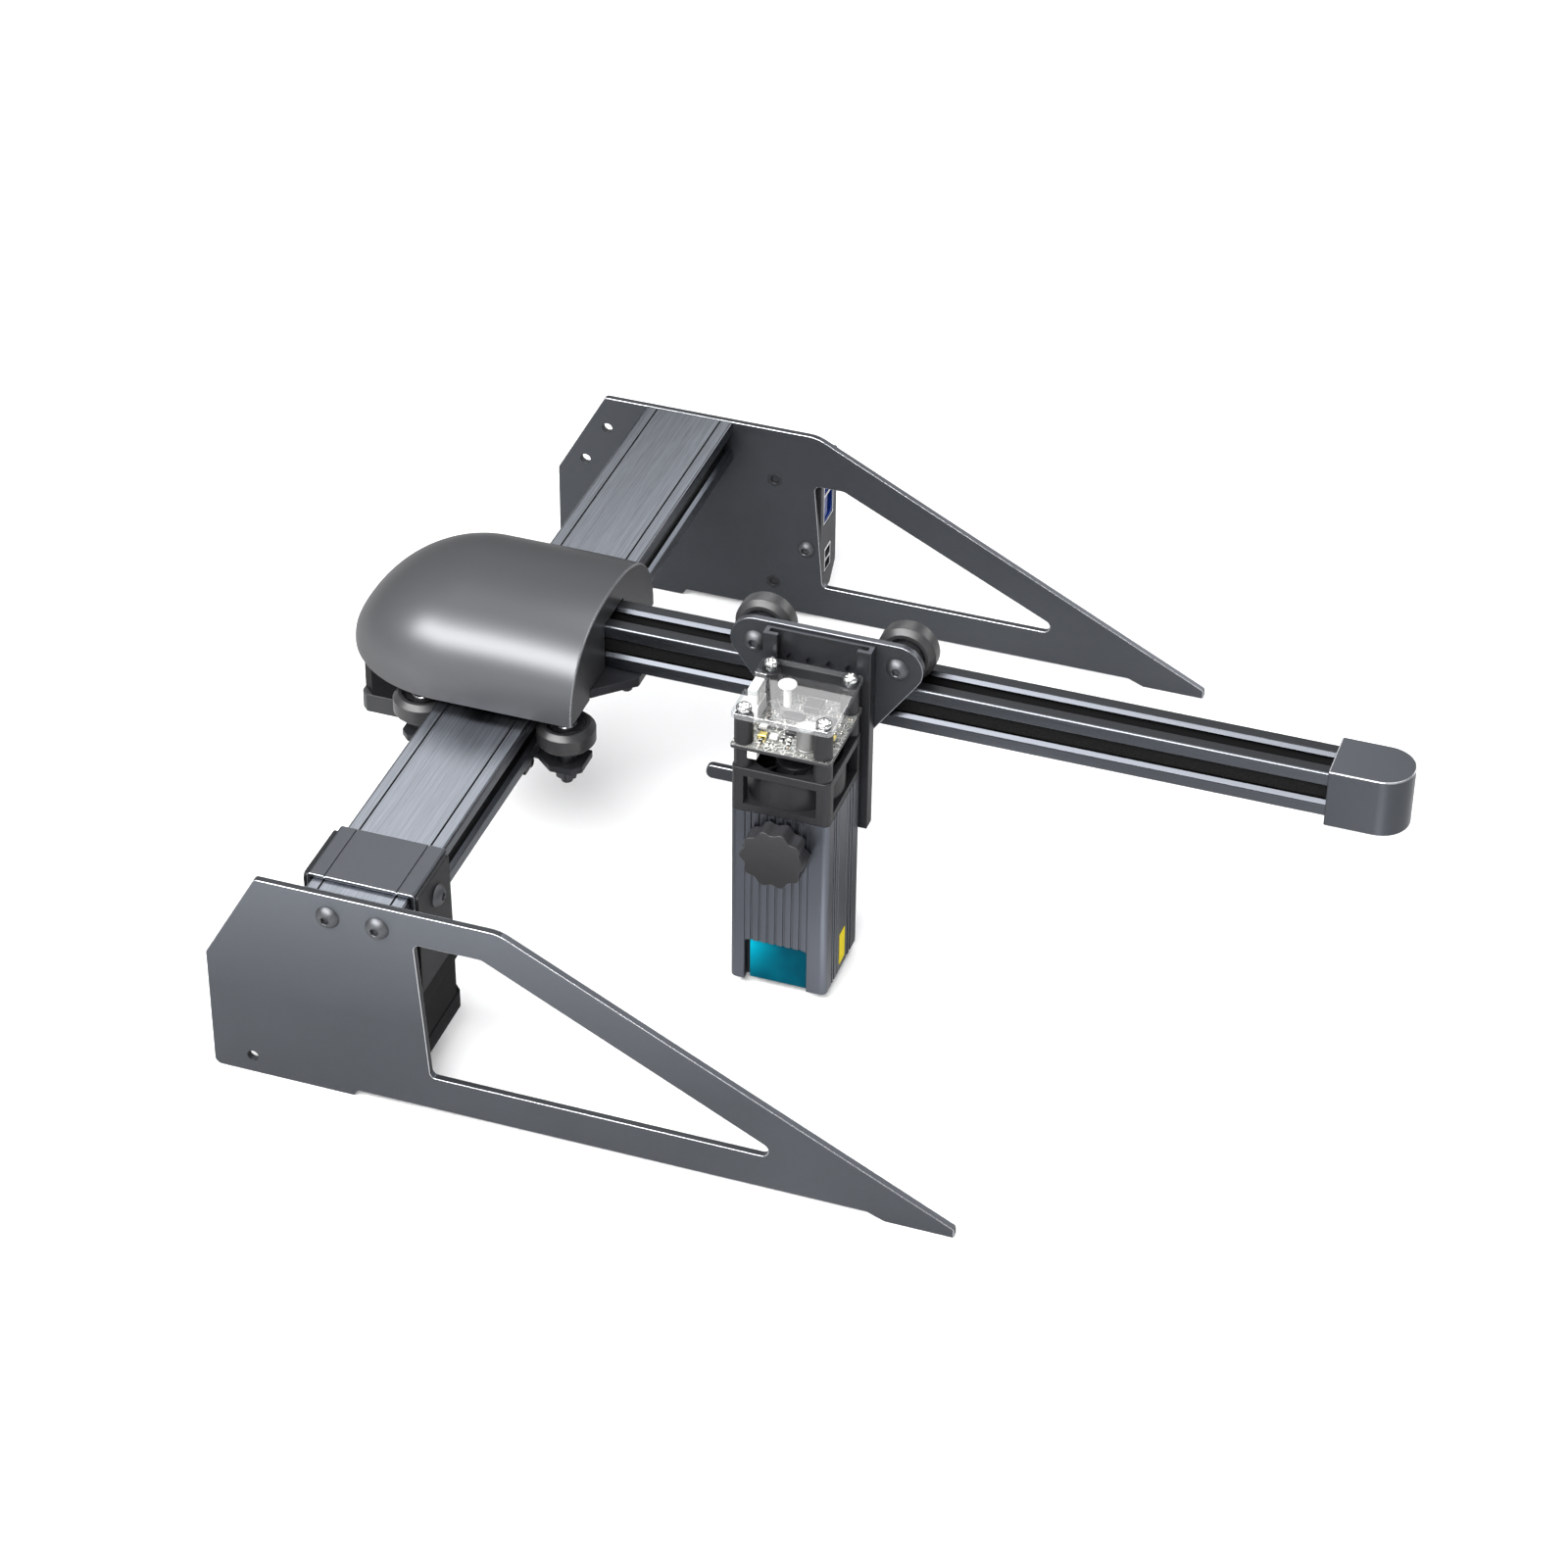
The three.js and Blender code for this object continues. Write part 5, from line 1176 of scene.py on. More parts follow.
def rail_axle(node, x, y):
    """Bolt down through the base plate, wheel and lower bar, with collars and an end nut."""
    nut, nut_wide = hexagon(4.0, 0.2), hexagon(4.1, 0.2)
    profile = [
        (0, 61.5), (2.0, 61.5), (2.45, 62.0), (2.45, 64.3), (2.45, 64.5), (nut, 64.5),
        (nut_wide, 64.9), (nut_wide, 69.1), (nut, 69.48), (2.45, 69.5), (2.45, 72.5),
        (3.8, 72.5), (4.0, 72.7), (4.0, 79.45), (3.8, 79.65), (2.45, 79.65), (2.45, 90.35),
        (3.8, 90.35), (4.0, 90.55), (4.0, 98.3), (3.8, 98.5), (2.45, 98.5), (2.45, ARM_Z0)]
    profile += button_head(4.75, 2.75, base=ARM_Z0, floor=2.0)

    def pick(centre, normal, slot):
        return 1 if 90.3 < centre.z < 98.6 and abs(normal.z) < 0.99 else None

    Mesh().lathe(profile, 48, (x, y, 0)).build(
        f"{node}_bolt", [M_SCREW, M_COLLAR], "carriage", node, "black_steel", pick=pick)


for i, (x, y) in enumerate(RAIL_WHEELS, 1):
    wheel(f"rail_wheel_{i}", (x, y, RAIL_MID_Z), "Z")
    rail_axle(f"rail_wheel_axle_{i}", x, y)

# near bar under the rail wheels: x, y, corner radius; the far bar is its mirror image
BAR = [(-18, 148.5, 0.8), (-18, 136.5, 1.2), (-14.5, 133, 1.2), (-5.5, 133, 1.2),
       (2, 139.5, 1.2), (39, 139.5, 1.2), (46.5, 133, 1.2), (55.5, 133, 1.2),
       (59, 136.5, 1.2), (59, 148.5, 0.8)]
far_bar = [(x, 140.25 + 207.25 - y, radius) for x, y, radius in BAR]
for side, outline, y in (("near", BAR, 140.25), ("far", far_bar, 207.25)):
    Mesh().prism(rounded(outline, 5), 69.5, 72.5, "XY",
                 [circle(-10, y, BORE), circle(51, y, BORE)], bevel=0.25).build(
        f"lower_bar_{side}_cut", [M_DARK], "carriage", f"lower_bar_{side}", "dark_metal")

clamp_x = Y_MOTOR[0] + 7.175         # over the belt's right run
Mesh().prism([(clamp_x + x, z) for x, z in (
    (-4, 69.5), (-4, 59.5), (-1.3, 59.5), (-1.3, 67.5), (1.3, 67.5), (1.3, 59.5), (4, 59.5),
    (4, 69.5))], 140, 148, "XZ", bevel=0.25).lathe(
    [(0, 0), (2.6, 0), (2.6, 0.6), (2.0, 1.5), (hexagon(1.35), 1.6), (hexagon(1.25), 0.7),
     (0, 0.6)], 36, (clamp_x + 4, 144, 63.5), "X", mat=1).build(
    "belt_clamp_block", [M_DARK, M_SCREW], "carriage", "belt_clamp", "dark_metal")

# ------------------------------------------------------------------ arm end cap
cap_outline = [(350, 161.5, 0.8), (381, 161.5, 12), (381, 185.75, 12), (350, 185.75, 0.8)]
cap_hollow = [(345, 163.5), (379, 163.5, 10.2), (379, 184, 10.2), (345, 184)]
cap = Mesh().prism(rounded(cap_outline, 18), 100, 125, bevel=0.45, steps=4, edge=1).build(
    "arm_end_cap_shell", [M_CAP, M_EDGE], "carriage", "arm_end_cap", "anodised_plate")
carve(cap, Mesh().prism(rounded(cap_hollow, 14), 102.25, 122.75))
Mesh().rod(2.5, 101.5, 123.5, 40, (*X_IDLER, 0)).build(
    "arm_end_idler_pin", [M_STEEL], "carriage", slot="steel")


# ------------------------------------------------------------------ laser carriage
def hull(points, radius, steps=24):
    """Convex outline round three circles, given clockwise."""
    outline = []
    order = points[::-1]
    for i in range(3):
        last, here, following = order[i - 1], order[i], order[(i + 1) % 3]
        start = atan2(-(here[0] - last[0]), here[1] - last[1])
        end = atan2(-(following[0] - here[0]), following[1] - here[1])
        while end < start:
            end += 2 * pi
        outline += arc(*here, radius, start, end, steps)
    return outline


Mesh().prism(hull(ARM_WHEELS, 10.25), 159.75, 162.75, "XZ",
             [circle(x, z, BORE) for x, z in ARM_WHEELS], bevel=0.35, steps=3, side=2,
             edge=1).box(145.75, 157.75, 162.5, 165.6, 110, 115, 0.3).build(
    "wheel_plate_cut", [M_WPLATE, M_WEDGE, M_SLEEVE], "laser_carriage", "wheel_plate",
    "dark_metal")

# C-shaped channel, open towards -Y between two lips
x0, x1, y0, y1 = 128, 172, 153.5, 159.75
wall, lip = 2, 6
channel_outline = [
    (x0, y0, 0.4), (x0 + lip, y0, 0.4), (x0 + lip, y0 + wall, 0.3), (x0 + wall, y0 + wall, 0.3),
    (x0 + wall, y1 - wall, 0.3), (x1 - wall, y1 - wall, 0.3), (x1 - wall, y0 + wall, 0.3),
    (x1 - lip, y0 + wall, 0.3), (x1 - lip, y0, 0.4), (x1, y0, 0.4), (x1, y1, 0.6), (x0, y1, 0.6)]
# the bevels and the top end face take the lighter sleeve metal: a painted highlight
channel = Mesh().prism(rounded(channel_outline, 4), 58.5, 142, bevel=0.25, edge=1).build(
    "slide_channel_profile", [M_CHANNEL, M_SLEEVE], "laser_carriage", "slide_channel",
    "black_plastic",
    pick=lambda centre, normal, slot: 1 if normal.z > 0.9 and centre.z > 141 else None)
carve(channel, *[Mesh().rod(1.6, -3, 3, 32, ((x0 + x1) / 2 + off, 158.7, 130), "Y")
                 for off in (-12, -4, 4, 12)])

for i, (x, z) in enumerate(ARM_WHEELS, 1):
    wheel(f"arm_wheel_{i}", (x, ARM_Y, z), "-Y")
    # heights run towards -Y: wheel half width, back of the wheel plate, its front
    half, back, front = 5.35, 11.0, 14.0
    collar = [(2.45, -half), (2.45, half), (3.8, half), (4, half + 0.2), (4, back - 0.2),
              (3.8, back), (2.45, back)]
    if i < 3:
        nut, nut_wide = hexagon(4.0), hexagon(4.15)
        profile = [(0, -12), (2.1, -12), (2.45, -11.6), (2.45, -10.5), (nut, -10.5),
                   (nut_wide, -10.1), (nut_wide, -half - 0.3), (nut, -half), *collar,
                   (2.45, front),
                   *button_head(4.65, 2.7, base=front, turn=0.5, lip=0.3, floor=2.0)]
        # both socket rings of these heads are turned alike
    else:
        profile = [(0, -7.0), (hexagon(1.75), -6.8), (hexagon(1.78), -7.9), (2.3, -8.1),
                   (3.2, -8.05), (4.0, -7.5), (4.5, -6.7), (4.6, -6.4), (4.6, -half), *collar,
                   (2.45, front - 0.4), (2.2, front - 0.25), (0, front - 0.25)]
    Mesh().lathe(profile, 60, (x, ARM_Y, z), "-Y").build(
        f"arm_wheel_axle_{i}_bolt", [M_SCREW_DOMED], "laser_carriage", f"arm_wheel_axle_{i}",
        "black_steel")

# ------------------------------------------------------------------ laser body
CORNER = 2.75
KNOB_Z = 72.25
# place along the wall, width, depth
FRONT_GROOVES = [(135.4, 0.35, 0.4), *[(138.3 + 3.32 * k, 1.15, 0.5) for k in range(7)],
                 (161.1, 0.35, 0.4)]
SIDE_GROOVES = [(121.2, 1.0, 0.9), (123.6, 1.2, 0.9), (127.2, 0.6, 0.6), (136.8, 0.6, 0.6),
                (140.5, 1.2, 0.9), (143.8, 1.2, 0.9)]


def groove(mid, width, depth, place):
    """A groove across a wall, its edges broken, laid out by place(along, depth)."""
    edge, corner = min(0.18, width * 0.3), min(0.15, width * 0.3)
    low, high = mid - width / 2, mid + width / 2
    loop = rounded([(low - 0.5, 0, 0), (low, 0, edge), (low, depth, corner),
                    (high, depth, corner), (high, 0, edge), (high + 0.5, 0, 0)], 3)
    return [place(along, deep) for along, deep in loop[1:-1]]


def body_slot(centre, normal, slot):
    """Groove walls and floors get painted shade, side ones most; +X lands a painted highlight."""
    x, y = centre.x, centre.y
    upright = abs(normal.z) < 0.3
    if upright and MOD_Y0 + 0.1 < y < MOD_Y0 + 0.6 and MOD_X0 + 4 < x < MOD_X1 - 4:
        return 1 if abs(normal.x) > 0.6 else 2
    if normal.x > 0.8 and x > MOD_X1 - 0.12 and MOD_Y0 + 4 < y < MOD_Y1 - 1:
        return 3
    in_side = MOD_X0 + 0.15 < x < MOD_X0 + 0.95 or MOD_X1 - 0.95 < x < MOD_X1 - 0.15
    if upright and in_side and MOD_Y0 + 3 < y < MOD_Y1 - 3:
        return 1
    return None


outline = arc(MOD_X0 + CORNER, MOD_Y0 + CORNER, CORNER, pi, 1.5 * pi, 8)
for row in FRONT_GROOVES:
    outline += groove(*row, lambda along, deep: (along, MOD_Y0 + deep))
outline += arc(MOD_X1 - CORNER, MOD_Y0 + CORNER, CORNER, -0.5 * pi, 0, 8)
for row in SIDE_GROOVES:
    outline += groove(*row, lambda along, deep: (MOD_X1 - deep, along))
outline += arc(MOD_X1 - CORNER, MOD_Y1 - CORNER, CORNER, 0, pi / 2, 8)
# the tongue that slides in the channel
outline += [(165, MOD_Y1), (165, 155.75), (169.5, 155.75), (169.5, 157.5), (130.5, 157.5),
            (130.5, 155.75), (135, 155.75), (135, MOD_Y1)]
outline += arc(MOD_X0 + CORNER, MOD_Y1 - CORNER, CORNER, pi / 2, pi, 8)
for row in reversed(SIDE_GROOVES):
    outline += groove(*row, lambda along, deep: (MOD_X0 + deep, along))[::-1]
body = Mesh().prism(outline, 4, 86.5, bevel=0.12).build(
    "laser_body_finned", [M_BODY, M_GROOVE, M_GROOVE_FRONT, M_BODY_SIDE_LIT], "laser_module",
    "laser_body", "body_aluminium", pick=body_slot)
window = [(135.42, -2, 0), (161.12, -2, 0), (161.12, 24, 1.5), (135.42, 24, 1.5)]
carve(body,
      Mesh().prism([(120, MOD_Y1), (180, MOD_Y1), (180, 160), (120, 160)], -1, 61),
      Mesh().prism(round_rect(MOD_X0 + 3, MOD_X1 - 3, MOD_Y0 + 3, MOD_Y1 - 3, 1), -1, 28),
      Mesh().prism(rounded(window, 6), 110, MOD_Y0 + 4, "XZ"),
      Mesh().rod(8.25, 20, 60, 48, (MOD_X, MOD_Y, 0)),
      Mesh().rod(2.3, 110, 158, 32, (MOD_X, 0, KNOB_Z), "Y"))

lens = Mesh().lathe(
    [(0, 59.5), (8, 59.5), (8, 20.4), (7.8, 20), (6.5, 16.4), (6.5, 12.3), (6.2, 12), (4.2, 12),
     (4, 12.3), (3, 17), (3, 18), (0, 18)], 64, (MOD_X, MOD_Y, 0))
lens.lathe([(0, 16.4), (1.2, 16.3), (2.3, 16.7), (3.1, 17.2), (3.1, 17.6), (0, 17.6)],
           48, (MOD_X, MOD_Y, 0), mat=1)
lens.build("lens_barrel_turned", [M_BLACK, M_LENS], "laser_module", "lens_barrel",
           "black_plastic")
shield = [(137.4, 4.75, 0.5), (161.05, 4.75, 0.5), (161.05, 23.75, 1.5), (137.4, 23.75, 0.9)]
Mesh().prism(rounded(shield, 6), 114.4, 116.4, "XZ", bevel=0.2, steps=3).build(
    "beam_shield_plate", [M_SHIELD], "laser_module", "beam_shield", "shield_acrylic")
Mesh().box(132.4, 138.2, 116.7, 117.5, 4.3, 27.8, 0.1).build(
    "shield_liner_strip", [M_CHANNEL], "laser_module", slot="black_plastic")
Mesh().prism(round_rect(130.3, 136.75, 7, 22, 0.5, 6), MOD_X1 - 0.05, MOD_X1 + 0.12, "YZ",
             bevel=0.04, steps=1).build(
    "blank_sticker", [M_YELLOW], "laser_module", slot="body_aluminium")


# ------------------------------------------------------------------ clamp knob
def lobes(shrink):
    return lambda angle: 12.5 + 0.8 * cos(10 * angle) - shrink


Mesh().lathe(
    [(0, 0.25), (lobes(1.0), 0.25), (lobes(0.25), 0.8), (lobes(0.0), 1.4), (lobes(0.0), 8.55),
     (lobes(0.08), 8.8), (lobes(0.26), 8.95), (lobes(0.48), 9.0), (4.6, 9.0), (4.4, 8.9),
     (0, 8.88)], 120, (MOD_X, MOD_Y0, KNOB_Z), "-Y").lathe(
    [(0, -39), (1.7, -39), (2, -38.6), (2, 0.6), (0, 0.6)], 32, (MOD_X, MOD_Y0, KNOB_Z), "-Y",
    mat=1).build(
    "clamp_knob_moulded", [M_KNOB, M_STEEL], "clamp_knob_body", "clamp_knob", "black_plastic",
    smooth=40)

# ------------------------------------------------------------------ fan
FAN_Z0, FAN_Z1 = 86.5, 106.5
fan = Mesh().prism(round_rect(MOD_X0, MOD_X1, MOD_Y0, MOD_Y1, CORNER, 10), FAN_Z0, FAN_Z1, "XY",
                   [circle(MOD_X, MOD_Y, 18, 96)], bevel=0.45, steps=3).build(
    "fan_frame_moulded", [M_BLACK], "laser_module", "fan_frame", "black_plastic")
# a waist pocket in each of the four sides, ending in an arc round the duct
POCKET_HALF, DUCT_OUTER = 14.75, 19.2
corner_turn = acos(POCKET_HALF / DUCT_OUTER)
pocket = [(-POCKET_HALF, -21.5), (POCKET_HALF, -21.5),
          *arc(0, 0, DUCT_OUTER, -corner_turn, corner_turn - pi, 24)]
pockets = []
for quarter in range(4):
    c, s = cos(quarter * pi / 2), sin(quarter * pi / 2)
    turned = [(MOD_X + x * c - y * s, MOD_Y + x * s + y * c) for x, y in pocket]
    pockets.append(Mesh().prism(turned, FAN_Z0 + 3.5, FAN_Z1 - 3.5))
carve(fan, *pockets)

spider = Mesh().lathe(
    [(0, FAN_Z0), (8.3, FAN_Z0), (8.5, FAN_Z0 + 0.3), (8.5, FAN_Z0 + 2.2), (8.2, FAN_Z0 + 2.5),
     (0, FAN_Z0 + 2.5)], 48, (MOD_X, MOD_Y, 0))
for quarter in range(4):
    angle = quarter * pi / 2 + pi / 4
    c, s = cos(angle), sin(angle)
    strut = [(MOD_X + c * x - s * y, MOD_Y + s * x + c * y)
             for x, y in ((8, -1.2), (18.6, -1.2), (18.6, 1.2), (8, 1.2))]
    spider.prism(strut, FAN_Z0 + 0.02, FAN_Z0 + 2, bevel=0.2)
spider.build("fan_spider", [M_BLACK], "laser_module", slot="black_plastic")


def fan_blade(number, of, mid_z, rows=7, columns=9):
    """Cambered, twisted blade, as a grid of its upper and lower skins."""
    grid, verts, faces = {}, [], []
    for skin in (1, -1):
        for i in range(rows):
            out = i / (rows - 1)
            radius = 7.8 + (17.2 - 7.8) * out
            half = 5.2 - 0.25 * out
            pitch = 0.95 - 0.42 * out
            for j in range(columns):
                chord = -1 + 2 * j / (columns - 1)
                angle = 2 * pi * number / of + 0.08 * out
                angle += chord * half * 1.25 * cos(pitch) / radius
                camber = 1 - chord * chord
                thick = 0.55 * (1 - 0.75 * chord * chord) * (1 - 0.3 * out)
                z = mid_z + chord * half * sin(pitch) * 1.05 + camber + skin * thick
                grid[skin, i, j] = len(verts)
                verts.append((MOD_X + radius * cos(angle), MOD_Y + radius * sin(angle), z))
    last_row, last = rows - 1, columns - 1
    for i in range(last_row):
        for j in range(last):
            faces.append((grid[1, i, j], grid[1, i + 1, j], grid[1, i + 1, j + 1],
                          grid[1, i, j + 1]))
            faces.append((grid[-1, i, j], grid[-1, i, j + 1], grid[-1, i + 1, j + 1],
                          grid[-1, i + 1, j]))
    for i in range(last_row):
        faces.append((grid[1, i, 0], grid[-1, i, 0], grid[-1, i + 1, 0], grid[1, i + 1, 0]))
        faces.append((grid[1, i, last], grid[1, i + 1, last], grid[-1, i + 1, last],
                      grid[-1, i, last]))
    for j in range(last):
        faces.append((grid[1, 0, j], grid[1, 0, j + 1], grid[-1, 0, j + 1], grid[-1, 0, j]))
        faces.append((grid[1, last_row, j], grid[-1, last_row, j], grid[-1, last_row, j + 1],
                      grid[1, last_row, j + 1]))
    return verts, faces, 0


fan_mid = (FAN_Z0 + FAN_Z1) / 2
rotor = Mesh().lathe(
    [(0, -5), (7.4, -5), (8, -4.6), (8, 4.4), (7.6, 4.9), (6.9, 5.2), (4.2, 5.25), (4.0, 5.1),
     (0, 5.1)], 64, (MOD_X, MOD_Y, fan_mid))
for k in range(7):
    rotor.add(*fan_blade(k, 7, fan_mid))
rotor.build("fan_rotor_moulded", [M_BLACK], "fan_rotor_body", "fan_rotor", "black_plastic",
            smooth=40)

# ------------------------------------------------------------------ posts with cross screws
BOARD_Z, SHEET_Z0, SHEET_Z1 = 115.25, 129.0, 131.5
BOARD_TOP = BOARD_Z + 1.6
for i, (x, y) in enumerate(POSTS):
    spacer = [
        (0, FAN_Z1), (3.5, FAN_Z1), (3.75, FAN_Z1 + 0.25), (3.75, BOARD_Z - 0.25),
        (3.5, BOARD_Z), (1.45, BOARD_Z), (1.45, BOARD_TOP), (3.5, BOARD_TOP),
        (3.75, BOARD_TOP + 0.25), (3.75, SHEET_Z0 - 0.25), (3.5, SHEET_Z0), (0, SHEET_Z0)]
    turn = 0.35 + 0.9 * i
    # radius, height over the clear sheet
    head = [(2.9, 0), (3.1, 0.2), (3.08, 0.8), (2.85, 1.45), (2.3, 1.9), (1.75, 2.08),
            (cross(0.42, 1.62, turn), 2.1), (cross(0.26, 0.95, turn), 0.9), (0, 0.5)]
    screw = [(0, SHEET_Z0 - 1), (1.45, SHEET_Z0 - 1), (1.45, SHEET_Z1),
             *[(radius, SHEET_Z1 + z) for radius, z in head]]
    Mesh().lathe(spacer, 64, (x, y, 0)).lathe(screw, 72, (x, y, 0), mat=1).build(
        f"module_post_{i + 1}_turned", [M_BLACK, M_NICKEL], "laser_module",
        f"module_post_{i + 1}", "black_plastic")

# ------------------------------------------------------------------ driver board
BOARD_HALF = 20.25
# the order of the holes steers the triangles of the board and the sheet
POST_HOLES = [circle(MOD_X + a, MOD_Y + b, 1.7, 24) for a in (-16, 16) for b in (-16, 16)]
Mesh().prism(round_rect(MOD_X - BOARD_HALF, MOD_X + BOARD_HALF, MOD_Y - BOARD_HALF, MOD_Y1,
                        1.2, 6), BOARD_Z, BOARD_TOP, "XY", POST_HOLES, bevel=0.12, steps=1,
             side=1).build(
    "driver_board_bare", [M_PCB, M_CHIP], "laser_module", "driver_board", "circuit_board")
rnd = random.Random(11)
taken = [(x, y, 4.6, 4.6) for x, y in POSTS]        # x, y, half width, half depth
parts = Mesh()


def free(x, y, w, h, gap=0.35):
    return all(abs(x - tx) > (w / 2 + tw + gap) or abs(y - ty) > (h / 2 + th + gap)
               for tx, ty, tw, th in taken)


def claim(x, y, w, h):
    taken.append((x, y, w / 2, h / 2))


def leaded_chip(x, y, w, h, height, pins, turned):
    """Chip with two rows of pins; turned puts the rows on its near and far sides."""
    claim(x, y, *((h + 0.4, w + 1.6) if turned else (w + 1.6, h + 0.4)))
    wide, deep = (h, w) if turned else (w, h)
    top = BOARD_TOP + height
    parts.block(x, y, wide, deep, BOARD_TOP + 0.12, top, 0.12)
    parts.rod(0.32, top - 0.02, top + 0.01, 12, (x - wide / 2 + 0.7, y - deep / 2 + 0.7, 0),
              mat=1)
    for k in range(pins):
        along = (k - (pins - 1) / 2) * (h - 0.4) / (pins - 1)
        for side in (-1, 1):
            out = side * (w / 2 + 0.35)
            pin = (x + along, y + out, 0.32, 0.84) if turned else (x + out, y + along, 0.84, 0.32)
            parts.block(*pin, BOARD_TOP, BOARD_TOP + 0.25, 0.04, 1)


# plug tower by the notch of the clear cover
claim(131.9, 135.75, 6, 11.4)
PLUG_PITCH = 2.75
tower = Mesh().prism(round_rect(129.3, 134.3, 130.6, 140.9, 0.4), BOARD_TOP, 123.4, bevel=0.2)
tower.prism(round_rect(129.9, 133.7, 131.4, 140.1, 0.3), 123.2, 130.6, "XY",
            [round_rect(131.0, 132.6, 132.3 + PLUG_PITCH * k, 134.0 + PLUG_PITCH * k, 0.2)
             for k in range(3)], bevel=0.2)
for k in range(4):
    y = 131.6 + 2.6 * k
    tower.box(129.75, 130.0, y, y + 0.7, 124, 130.0, 0.05)
    tower.box(133.65, 133.95, y + 0.3, y + 1.2, 124.5, 129.6, 0.05)
tower.box(129.5, 134.1, 134.9, 136.6, 123.4, 126.4, 0.15)
for k in range(3):
    tower.box(131.2, 132.4, 132.5 + PLUG_PITCH * k, 133.8 + PLUG_PITCH * k, 126, 129.4, 0.05, 1)
tower.build("board_plug", [M_NYLON, M_TIN], "laser_module", slot="circuit_board")
Mesh().prism(round_rect(136.0, 139.8, 113.2, 117.2, 0.3), 111.8, BOARD_Z, bevel=0.2).box(
    136.6, 139.2, 113.05, 113.4, 112.4, 114.4, 0.05).build(
    "board_fan_plug", [M_NYLON], "laser_module", slot="circuit_board")

# nylon rivet and round capacitor that stand under the clear cover
RIVET, CAN = (141.5, 144.5), (157.5, 120.5)
claim(*RIVET, 6, 6)
claim(*CAN, 8.6, 8.6)
Mesh().lathe(
    [(0, BOARD_TOP), (1.6, BOARD_TOP), (1.6, 125.6), (1.8, 126.0), (3.5, 126.3), (3.7, 126.6),
     (3.6, 127.2), (3.0, 127.6), (0, 127.8)], 48, (*RIVET, 0)).lathe(
    [(0, BOARD_TOP), (4.2, BOARD_TOP), (4.2, BOARD_TOP + 0.9), (3.95, BOARD_TOP + 1.1),
     (3.95, BOARD_TOP + 1.5), (4.1, BOARD_TOP + 1.8), (4.1, 126.2), (3.8, 126.8),
     (3.2, 126.95), (0, 126.9)], 56, (*CAN, 0), mat=1).build(
    "board_tall_parts", [M_NYLON, M_CAPACITOR, M_CAPTOP], "laser_module", slot="circuit_board",
    pick=lambda centre, normal, slot:
        2 if slot == 1 and normal.z > 0.6 and centre.z > 126 else None)

leaded_chip(149.0, 128.0, 3.9, 4.9, height=1.5, pins=4, turned=False)
leaded_chip(160.5, 137.5, 5.0, 6.2, height=1.6, pins=8, turned=False)
leaded_chip(146.5, 137.5, 3.9, 8.6, height=1.5, pins=8, turned=True)
# x, y, width, depth, height, slot
for x, y, w, h, height, mat in (
        (139.6, 121.4, 3.4, 2.8, 1.9, 2), (143.8, 122.2, 3.2, 2.6, 1.7, 3),
        (152.0, 145.5, 6.6, 6.6, 3.0, 0), (165.0, 128.2, 2.8, 3.4, 1.8, 2),
        (137.8, 127.2, 3.2, 2.4, 1.6, 3), (160.2, 147.6, 4.0, 4.0, 2.0, 0)):
    if free(x, y, w, h, gap=0.0):
        claim(x, y, w, h)
        parts.block(x, y, w, h, BOARD_TOP + 0.05, BOARD_TOP + height, 0.25, mat)
        for side in (-1, 1):
            parts.block(x + side * (w / 2 - 0.075), y, 0.65, h - 0.6, BOARD_TOP,
                        BOARD_TOP + height * 0.7, 0.05, 1)

# small parts strewn on a 0.4 mm grid: width, depth, height, slot; slot 1 is a bare via
SMALL = ((1.0, 0.5, 0.35, 0), (1.6, 0.8, 0.5, 0), (1.6, 0.8, 0.75, 5), (1.6, 0.8, 0.75, 5),
         (2.0, 1.25, 0.8, 4), (2.9, 1.4, 1.1, 0), (1.0, 1.0, 0.1, 1))
for k in range(900):
    w, h, height, mat = rnd.choice(SMALL)
    if rnd.random() < 0.5:
        w, h = h, w
    x, y = rnd.uniform(MOD_X0 + 1, MOD_X1 - 1), rnd.uniform(MOD_Y0 + 1, MOD_Y1 - 1.2)
    x, y = round(x / 0.4) * 0.4, round(y / 0.4) * 0.4
    outside = (x - w / 2 < MOD_X0 + 0.3 or x + w / 2 > MOD_X1 - 0.3
               or y - h / 2 < MOD_Y0 + 0.3 or y + h / 2 > MOD_Y1 - 0.6)
    if outside or not free(x, y, w, h):
        continue
    claim(x, y, w, h)
    if mat == 1:
        parts.lathe([(0, BOARD_TOP - 0.02), (w / 2, BOARD_TOP - 0.02), (w / 2, BOARD_TOP + 0.05),
                     (w / 4, BOARD_TOP + 0.06), (w / 5, BOARD_TOP - 0.01),
                     (0, BOARD_TOP - 0.01)], 16, (x, y, 0), mat=1)
        continue
    parts.block(x, y, w - 0.24, h - 0.24, BOARD_TOP, BOARD_TOP + height, 0.08, mat)
    for side in (-1, 1):    # end caps on the two short sides
        end = ((x + side * w * 0.38, y, w * 0.24, h) if w > h
               else (x, y + side * h * 0.38, w, h * 0.24))
        parts.block(*end, BOARD_TOP, BOARD_TOP + height + 0.03, 0.06, 1)
parts.build("driver_board_parts", [M_CHIP, M_TIN, M_GOLD, M_NYLON, M_CAPACITOR, M_CERAMIC],
            "laser_module", slot="circuit_board", weighted=False)

